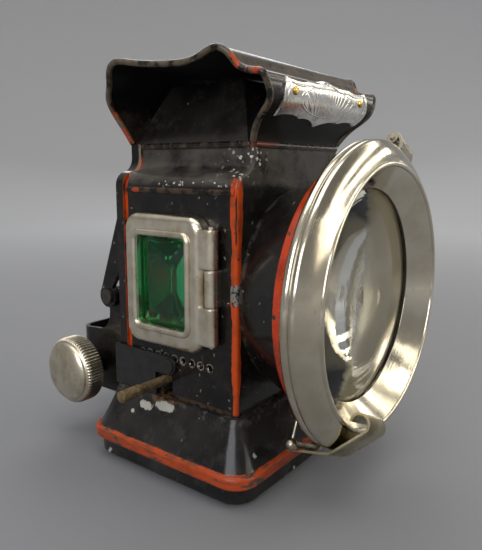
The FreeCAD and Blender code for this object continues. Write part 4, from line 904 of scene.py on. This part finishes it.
# cut screw and pad: grey steel that grease has kept from rust
clamp_steel = old_metal("clamp_steel", "7A756C", "544F47", "3A322A", 0.35, 0.5, 0.85)
# drawn rod: brass gone brown, rough with rust from the steel around it
rusty_brass = old_metal("rusty_brass", "86724F", "4E3F2B", "3A2817", 0.45, 0.75, 0.5, pits=0.6)
# round-headed rivets: the only bright yellow on the lamp
rivet_brass = old_metal("rivet_brass", "DCC571", "B89F55", "86703A", 0.2, 0.35, 1.0)
# pressed burner: yellow metal stained by heat and oil
burner_brass = old_metal("burner_brass", "B89A56", "8A7040", "4A3A22", 0.25, 0.45, 1.0)
# polished copper with a skin of silver: a warm mirror
silvered = nickel("silvered_copper", "F4ECD4", "DCCFAC", 0.12, 0.28, 12.0)
print("metals:", strap_steel.name, clamp_steel.name, rusty_brass.name, silvered.name)

# %% [markdown]
# ## Glass
#
# The lens is thick clear glass with a film of smears and the faint rings of its polishing. The
# jewels are cast in deep green and red glass and cut with sloping facets. Real thickness bends the
# light, so the glass is a full solid that lets light through, not a tinted sheet.

# %% Glass
GLASS_IOR = 1.5


def glass(name, colour, seat, smooth, smeared, clear, through=1.0, relief=no_relief):
    """Clear or coloured glass whose roughness rises in smears, and that lets a share through.

    The function clear gives a mask of the part that shows. The rest touches the bright metal seat,
    so it is given the seat's own shine. The relief function may add heights of its own.
    """
    material, tree, place = new_material(name)
    smear = grain(tree, place, 12.0, 0.5, 0.8, detail=6.0)
    haze = add(tree, "MapRange", smear, 0.0, 1.0, smooth, smeared)
    polished = clear(tree, place)
    tint = cover(tree, polished, srgb(seat), srgb(colour), data_type="RGBA")
    shine = cover(tree, polished, 0.25, haze)
    metal = join(tree, "SUBTRACT", 1.0, polished)
    passed = join(tree, "MULTIPLY", polished, through)
    feed(tree, Base_Color=tint, Metallic=metal, Transmission_Weight=passed, IOR=GLASS_IOR, Roughness=shine)
    waves = add(tree, "TexNoise", place, 1.0 / 8.0, 2.0, 0.5)
    bump(tree, (waves, 0.01), *relief(tree, place), rounded=0.0)
    return material


print("glass bends light by", GLASS_IOR)

# %% [markdown]
# ## Lens and jewels
#
# The lens shows all but its edge, and a jewel shows what lies in its window. The hidden border rests
# in bright metal, and clear glass there would look like a black line, so the border is masked by its
# place and shines like its seat.

# %% Lens and jewel glass
LENS_EDGE = LENS_RADIUS - 0.3
# the door's frame laps over the jewel's edge all round, and the rest is the window
JEWEL_LAP = 1.55
jewel_low, jewel_high = measure("red_jewel")
JEWEL_MIDDLE = (jewel_low + jewel_high)[1:] / 2
JEWEL_HALF = (jewel_high - jewel_low)[1:] / 2
WINDOW_HALF = JEWEL_HALF - JEWEL_LAP


def lens_clear(tree, place):
    """All of the lens but its round edge."""
    radius = away(tree, place, (0.0, 0.0, LENS_HEIGHT), (1.0, 0.0, 1.0))
    return edge(tree, radius, LENS_EDGE + 0.1, LENS_EDGE - 0.1)


def jewel_clear(tree, place):
    """All of a jewel that shows in its window."""
    _, y, z = add(tree, "SeparateXYZ", place).node.outputs
    (low_y, low_z), (high_y, high_z) = JEWEL_MIDDLE - WINDOW_HALF, JEWEL_MIDDLE + WINDOW_HALF
    inside = between(tree, y, low_y - 0.05, high_y + 0.05, 0.05)
    return join(tree, "MULTIPLY", inside, between(tree, z, low_z - 0.05, high_z + 0.05, 0.05))


def polish_rings(tree, place):
    """Shallow rings that polishing left on the lens: noise that changes only with the radius."""
    radius = away(tree, place, (0.0, 0.0, LENS_HEIGHT), (1.0, 0.0, 1.0))
    rings = add(tree, "TexNoise", add(tree, "CombineXYZ", radius, 0.0, 0.0), 1.0 / 2.2, 2.0, 0.6)
    return [(rings, 0.05)]


# cast and polished crown glass: clear, with soft waves and rings
clear_glass = glass("clear_glass", "FAFAF4", "E2DBC8", 0.0, 0.04, lens_clear, relief=polish_rings)
# cast bottle-green and ruby glass: deep colour, with a little dirt that scatters light
green_glass = glass("green_glass", "34BE74", "C8E8D4", 0.01, 0.05, jewel_clear, through=0.97)
red_glass = glass("red_glass", "D8242A", "F0C8C4", 0.01, 0.05, jewel_clear, through=0.97)
print("glass:", clear_glass.name, green_glass.name, red_glass.name)

# %% [markdown]
# ## Cotton
#
# The wick is a flat woven tape that draws oil up to the flame, so its tip is charred. Two sine waves,
# one across and one up, multiply into an over-and-under weave, which is enough at this size.

# %% Cotton
THREAD, CHARRED = 1.0, measure("wick")[1][2] - 2.5
# woven tape: matt and pale, with a thread each millimetre, coarser than real so that it shows
cotton, tree, place = new_material("cotton_wick")
waves = add(tree, "VectorMath", place, 2 * math.pi / THREAD, operation="SCALE")
swing = add(tree, "VectorMath", waves, operation="SINE")
warp, _, weft = add(tree, "SeparateXYZ", swing).node.outputs
weave = edge(tree, join(tree, "MULTIPLY", warp, weft), -1.0, 1.0)
height = add(tree, "SeparateXYZ", place).node.outputs["Z"]
char = edge(tree, height, CHARRED - 1.2, CHARRED + 1.2)
lay(tree, tones(tree, weave, "A3937A", "CDBF9F"), 0.9, 0.0, [(char, srgb("17130F"), 0.95, 0.0)])
bump(tree, (weave, 0.2))
print("cotton:", cotton.name)

# %% [markdown]
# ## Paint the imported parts
#
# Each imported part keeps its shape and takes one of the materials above. Pairs of parts on the two
# sides of the lamp share a name but for the colour. One table from material to parts shows at a
# glance which parts are alike, and the count shows that none is left out.

# %% Give every part its material
pairs = ("jewel_frame", "hinge_leaf", "hinge_pin", "jewel_retainer")
coats = {
    body_paint: ["body_shell"],
    back_paint: ["back_plate"],
    barrel_paint: ["front_barrel"],
    hood_paint: ["hood"],
    font_paint: ["font_shell", "font_bottom"],
    flue_paint: ["flue"],
    plain_japan: ["hanger_yoke", "bracket_socket"],
    red_enamel: ["front_flange"],
    door_nickel: ["bezel"],
    catch_nickel: ["catch_strip"],
    hinge_nickel: ["catch_keeper", "bezel_hinge_lug", "bezel_hinge_knuckles", "bezel_hinge_pin"],
    frame_nickel: [f"{colour}_{part}" for colour in ("green", "red") for part in pairs],
    knob_nickel: ["clamp_knob"],
    plate_nickel: ["name_plate"],
    strap_steel: ["font_clip"],
    dark_steel: ["hanger_rivets", "bracket_pin"],
    clamp_steel: ["clamp_screw", "clamp_pad"],
    rusty_brass: ["winder_spindle"],
    rivet_brass: ["name_plate_rivets"],
    burner_brass: ["burner_collar", "burner_plate", "wick_tube", "wick_wheel", "lens_ring"],
    silvered: ["reflector"],
    clear_glass: ["lens"],
    green_glass: ["green_jewel"],
    red_glass: ["red_jewel"],
    cotton: ["wick"],
}
for material, names in coats.items():
    for name in names:
        mesh = nodes[name].data
        mesh.materials.clear()
        mesh.materials.append(material)
print("painted", sum(len(names) for names in coats.values()), "of", len(nodes))

# %% [markdown]
# ## Paint of the hood's edges
#
# The hood's open ends are rolled over a wire, and the roll takes every knock. Its paint is worn to a
# grey brown, with red lining left low at the back and on the front's ledge. It is the same varnish
# as on the hood, with its own marks.

# %% Worn edge paint
def edge_marks(tree, place):
    """Brown wear along the whole roll, and red lining low at the back and on the front's ledge."""
    _, y, z = add(tree, "SeparateXYZ", place).node.outputs
    wear = join(tree, "MULTIPLY", grain(tree, place, 5.0, 0.4, 0.58, detail=6.0), 0.9)
    shiny = join(tree, "MULTIPLY", grain(tree, place, 1.8, 0.6, 0.68), 0.5)
    low_back = join(tree, "MULTIPLY", edge(tree, y, 19.0, 21.0), edge(tree, z, 112.0, 109.0))
    ledge = edge(tree, away(tree, place, (0.0, -27.0, 118.5), (0.0, 0.2, 0.3)), 1.2, 0.8)
    thick = join(tree, "MULTIPLY", low_back, grain(tree, place, 3.0, 0.42, 0.48))
    thin = join(tree, "MULTIPLY", ledge, grain(tree, place, 2.0, 0.5, 0.56))
    lining = join(tree, "MAXIMUM", thick, thin)
    return [
        (wear, srgb("655A4A"), 0.42, 0.2),
        (shiny, srgb("8A7E6A"), 0.4, 0.5),
        (join(tree, "MULTIPLY", lining, 0.9), red_coat(tree, place), 0.45, 0.0),
    ]


# varnish worn to a soft brown sheen
edge_paint = japan("black_japan_rolled_edge", edge_marks, rub=0.6)
print("edge paint:", edge_paint.name)

# %% [markdown]
# ## Outline of the hood
#
# Seen from the side, the hood waves from the front foot out to a bulge, over a ledge and a ridge,
# along a slightly hollow roof and down to the back foot. A spline through a few points of the
# drawing gives that line. The rolled edges and the plate's border both follow it.

# %% Hood outline
HOOD_TALL, RISE = 22.6, 12.6
FOOT = measure("hood")[0][2]
ROOF = FOOT + HOOD_TALL
widest, bulge, ridge, crown = FOOT + RISE, BODY_FRONT - 9.4, BODY_FRONT + 1.6, BODY_BACK - 5.2
ledge = (ROOF - widest) * 0.42
span = crown - ridge
hood_points = [
    (BODY_FRONT, FOOT),
    (BODY_FRONT + (bulge - BODY_FRONT) * 0.42, FOOT + RISE * 0.42),
    (bulge + 0.5, widest - 2.6),
    (bulge, widest),
    (bulge + 1.0, widest + ledge * 0.85),
    (bulge + 3.6, widest + ledge),
    (ridge - 3.0, widest + ledge * 1.45),
    (ridge - 1.6, ROOF - 1.7),
    (ridge + 1.0, ROOF),
    (ridge + span / 5, ROOF - 1.17),
    (ridge + span / 2, ROOF - 1.8),
    (ridge + span * 0.83, ROOF - 0.27),
    (crown, ROOF),
    (crown + 3.0, ROOF - 2.0),
    (BODY_BACK, widest + 4.6),
    (BODY_BACK + 2.8, widest + 0.8),
    (BODY_BACK + 1.4, FOOT + RISE * 0.4),
    (BODY_BACK, FOOT),
]
outline = spline(hood_points, 260)
print("hood outline is", round(np.linalg.norm(np.diff(outline, axis=0), axis=1).sum(), 1), "mm long")

# %% [markdown]
# ## Rolled edges of the hood
#
# Raw sheet cuts and bends easily, so the maker rolled the hood's two open ends over a wire. On the
# real lamp the roll is about two millimetres thick. It could be bevelled from the sheet, but a round
# section carried along the outline, in the sloping plane of the end, keeps the same thickness all
# round.

# %% Rolled edges
HALF_NECK, FLARE, ROLL = 23.75, 11.8 / HOOD_TALL, 0.9
ROLL_SINK, ROLL_BACK = 0.45, 0.35
inward = unit(np.gradient(outline, axis=0))[:, ::-1] * np.array([1.0, -1.0])
sunk = outline + inward * ROLL_SINK
for flank, side in ((-1, "green"), (1, "red")):
    end = flank * (HALF_NECK + FLARE * (sunk[:, 1] - FOOT) - ROLL_BACK)
    rolled = sweep(np.column_stack([end, sunk]), ellipse(ROLL, ROLL), (1.0, 0.0, 0.0))
    make_piece(f"hood_roll_{side}_side", "lamp", rolled, edge_paint)

# %% [markdown]
# ## Border of the name plate
#
# A struck plate has a raised line just inside its edge. The edge is a cartouche of shallow scallops
# that meet in points. Each scallop is a chord bowed inward by a parabola, and the line is laid on
# the hood's front, whose outline is already known. Relief in the material would vanish at the rim,
# so the line is a thin bead of its own.

# %% Plate border
def bowed(corners, bows, count):
    """Join corners by chords, each bowed sideways by its own amount as a parabola 4 u (1 - u)."""
    corners = np.asarray(corners, float)
    chord = np.roll(corners, -1, axis=0) - corners
    out = unit(np.column_stack([chord[:, 1], -chord[:, 0]]))
    u = np.linspace(0, 1, count, endpoint=False)[None, :, None]
    bow = np.asarray(bows, float)[:, None, None] * 4 * u * (1 - u)
    return (corners[:, None] + chord[:, None] * u + out[:, None] * bow).reshape(-1, 2)


PLATE_HALF_WIDE, PLATE_DIP = 22.5, 1.5
INSET_WIDE, INSET_TALL, PROUD, BEAD = 1.5, 1.0, 0.6, 0.3
SCALLOP, END_BOW = -0.7, 1.3
half_wide, half_tall = PLATE_HALF_WIDE - INSET_WIDE, PLATE_HALF_TALL - INSET_TALL
quarter, low = half_wide / 2, half_tall - PLATE_DIP
lower = [(-half_wide, -low), (-quarter, -low), (0, -half_tall), (quarter, -low), (half_wide, -low)]
upper = [(-x, -z) for x, z in lower]
flat = bowed(lower + upper, ([SCALLOP] * 4 + [END_BOW]) * 2, 14)
rising = outline[:np.argmax(outline[:, 1])]
level = PLATE_MIDDLE + flat[:, 1]
ahead = np.interp(level, rising[:, 1], rising[:, 0]) - PROUD
path = np.column_stack([flat[:, 0], ahead, level])
border = sweep(path, ellipse(BEAD, BEAD, 10), (0.0, -1.0, 0.0), closed=True)
make_piece("plate_border", "lamp", border, plate_nickel, closed=(True, True))

# %% [markdown]
# ## Rims of the jewel doors
#
# Each door's face is pressed up into a narrow rim round the glass. It is a flattened bead carried
# round the window, four straight sides and four quarter circles, because one sweep along a closed
# path leaves no seam.

# %% Jewel rims
def round_box(wide, tall, radius, count):
    """A round-cornered rectangle: quarter circles about four centres, joined by straight sides."""
    turn = np.linspace(0, np.pi / 2, count)
    start = np.arange(4)[:, None] * np.pi / 2 + turn
    signs = np.array([(1, 1), (-1, 1), (-1, -1), (1, -1)])
    centre = signs * np.array([wide / 2 - radius, tall / 2 - radius])
    arc = radius * np.stack([np.cos(start), np.sin(start)], axis=-1)
    return (centre[:, None] + arc).reshape(-1, 2)


WINDOW_CORNER, RIM, RIM_OUT = 1.2, 1.0, 0.85
FACE = measure("red_jewel_frame")[1][0]
middle_y, middle_z = JEWEL_MIDDLE
loop = round_box(*2 * (WINDOW_HALF + RIM), WINDOW_CORNER + RIM, 8)
for flank, colour in ((-1, "green"), (1, "red")):
    face = np.full(len(loop), FACE * flank)
    path = np.column_stack([face, middle_y + loop[:, 0], middle_z + loop[:, 1]])
    rim = sweep(path, ellipse(RIM_OUT, RIM, 16), (float(flank), 0.0, 0.0), closed=True)
    make_piece(f"{colour}_jewel_rim", f"{colour}_door", rim, frame_nickel, closed=(True, True))

# %% [markdown]
# ## Cut jewels
#
# A jewel sparkles because its back is cut too: light comes in at the front, is thrown from one
# sloping back facet to another and comes out again. The stone is a stack of rectangles, from a
# ridge at the back over the flat that rests on its seat to the bevels and the table in front.
# The faces between two rectangles are the facets, and every edge stays sharp. Bevels on a box would
# shape the front only.

# %% Jewels
JEWEL_SEAT, JEWEL_PLAY, RIDGE_DEEP, GIRDLE = jewel_low[0], 0.35, 4.65, 1.8
stone_half = JEWEL_HALF - JEWEL_PLAY


def cut_stone(levels, flank):
    """Stack rectangles. Each level is (distance from the lamp's middle, inset from the full size)."""
    depth, inset = np.array(levels).T[:, :, None]
    wide, tall = np.maximum(stone_half[0] - inset, 0), np.maximum(stone_half[1] - inset, 0)
    corner_y, corner_z = np.array([(1, 1), (-1, 1), (-1, -1), (1, -1)]).T
    out = np.repeat(depth * flank, 4, axis=1)
    return np.stack([out, middle_y + wide * corner_y, middle_z + tall * corner_z], axis=-1)


# from the ridge at the back over the resting flat, the girdle and the bevels to the table
levels = [
    (JEWEL_SEAT - RIDGE_DEEP, stone_half[0]),
    (JEWEL_SEAT, 2.95),
    (JEWEL_SEAT, 0.0),
    (JEWEL_SEAT + GIRDLE, 0.0),
    (JEWEL_SEAT + GIRDLE, 1.6),
    (FACE, 6.05),
    (FACE, stone_half[1]),
]
for flank, colour, stone_glass in ((-1, "green", green_glass), (1, "red", red_glass)):
    name, door, slot = f"{colour}_cut_jewel", f"{colour}_door", f"{colour}_glass"
    stone = make_piece(name, door, cut_stone(levels, flank), stone_glass, crease=1.0)
    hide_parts(f"{colour}_jewel")

# %% [markdown]
# ## Knurled clamp knob
#
# The clamp's knob is a thick nickel disc with straight knurls for the fingers and a domed face. It
# is a turned profile, given as a radius at each step along the axis, and the rim's radius also
# swings in and out round the circle, once for each knurl. A ring of small bars would give knurls too,
# but one grid stays a single closed skin. The knob is centred on its screw's own joint, so that it
# turns true.

# %% Knob
KNURLS, KNURL_DEPTH = 66, 0.55
screw = next(joint for joint in frame["joints"] if joint["name"] == "clamp_turn")
_, knob_y, knob_z = np.array(screw["pos_m"]) / MM
knob_low, knob_high = measure("clamp_knob")
KNOB_BACK, KNOB_FRONT, KNOB_RADIUS = -knob_high[0], -knob_low[0] - 1.9, knob_high[2] - knob_z
SHOULDER, DOME, DOME_RADIUS = KNOB_RADIUS - 0.3, 2.6, KNOB_RADIUS - 1.6
corners = np.array([
    (KNOB_BACK, 0.0),
    (KNOB_BACK, KNOB_RADIUS - 2.0),
    (KNOB_BACK + 0.8, SHOULDER),
    (KNOB_BACK + 1.5, KNOB_RADIUS),
    (KNOB_FRONT - 1.6, KNOB_RADIUS),
    (KNOB_FRONT - 0.8, SHOULDER),
    (KNOB_FRONT - 0.2, KNOB_RADIUS - 1.2),
])
rows = np.linspace(0, len(corners) - 1, 60)
rim = np.column_stack([np.interp(rows, np.arange(len(corners)), corners[:, k]) for k in (0, 1)])
swing = np.linspace(0, np.pi / 2, 24)
dome = np.column_stack([KNOB_FRONT + DOME * np.sin(swing), DOME_RADIUS * np.cos(swing)])
profile = np.vstack([rim, dome])
angle = np.linspace(0, 2 * np.pi, KNURLS * 8, endpoint=False)
# knurls start this far inside the rim and are full after this distance
KNURL_START, KNURL_FADE = 1.0, 0.8
on_rim = np.clip((profile[:, 1:] - (KNOB_RADIUS - KNURL_START)) / KNURL_FADE, 0, 1)
radius = profile[:, 1:] - KNURL_DEPTH * on_rim * (0.5 - 0.5 * np.cos(KNURLS * angle)[None])
knob_grid = np.stack([
    -np.repeat(profile[:, :1], len(angle), axis=1),
    knob_y + radius * np.cos(angle),
    knob_z + radius * np.sin(angle),
], axis=-1)
knob = make_piece("knurled_knob", "clamp_screw", knob_grid, knob_nickel, crease=60.0)
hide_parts("clamp_knob")
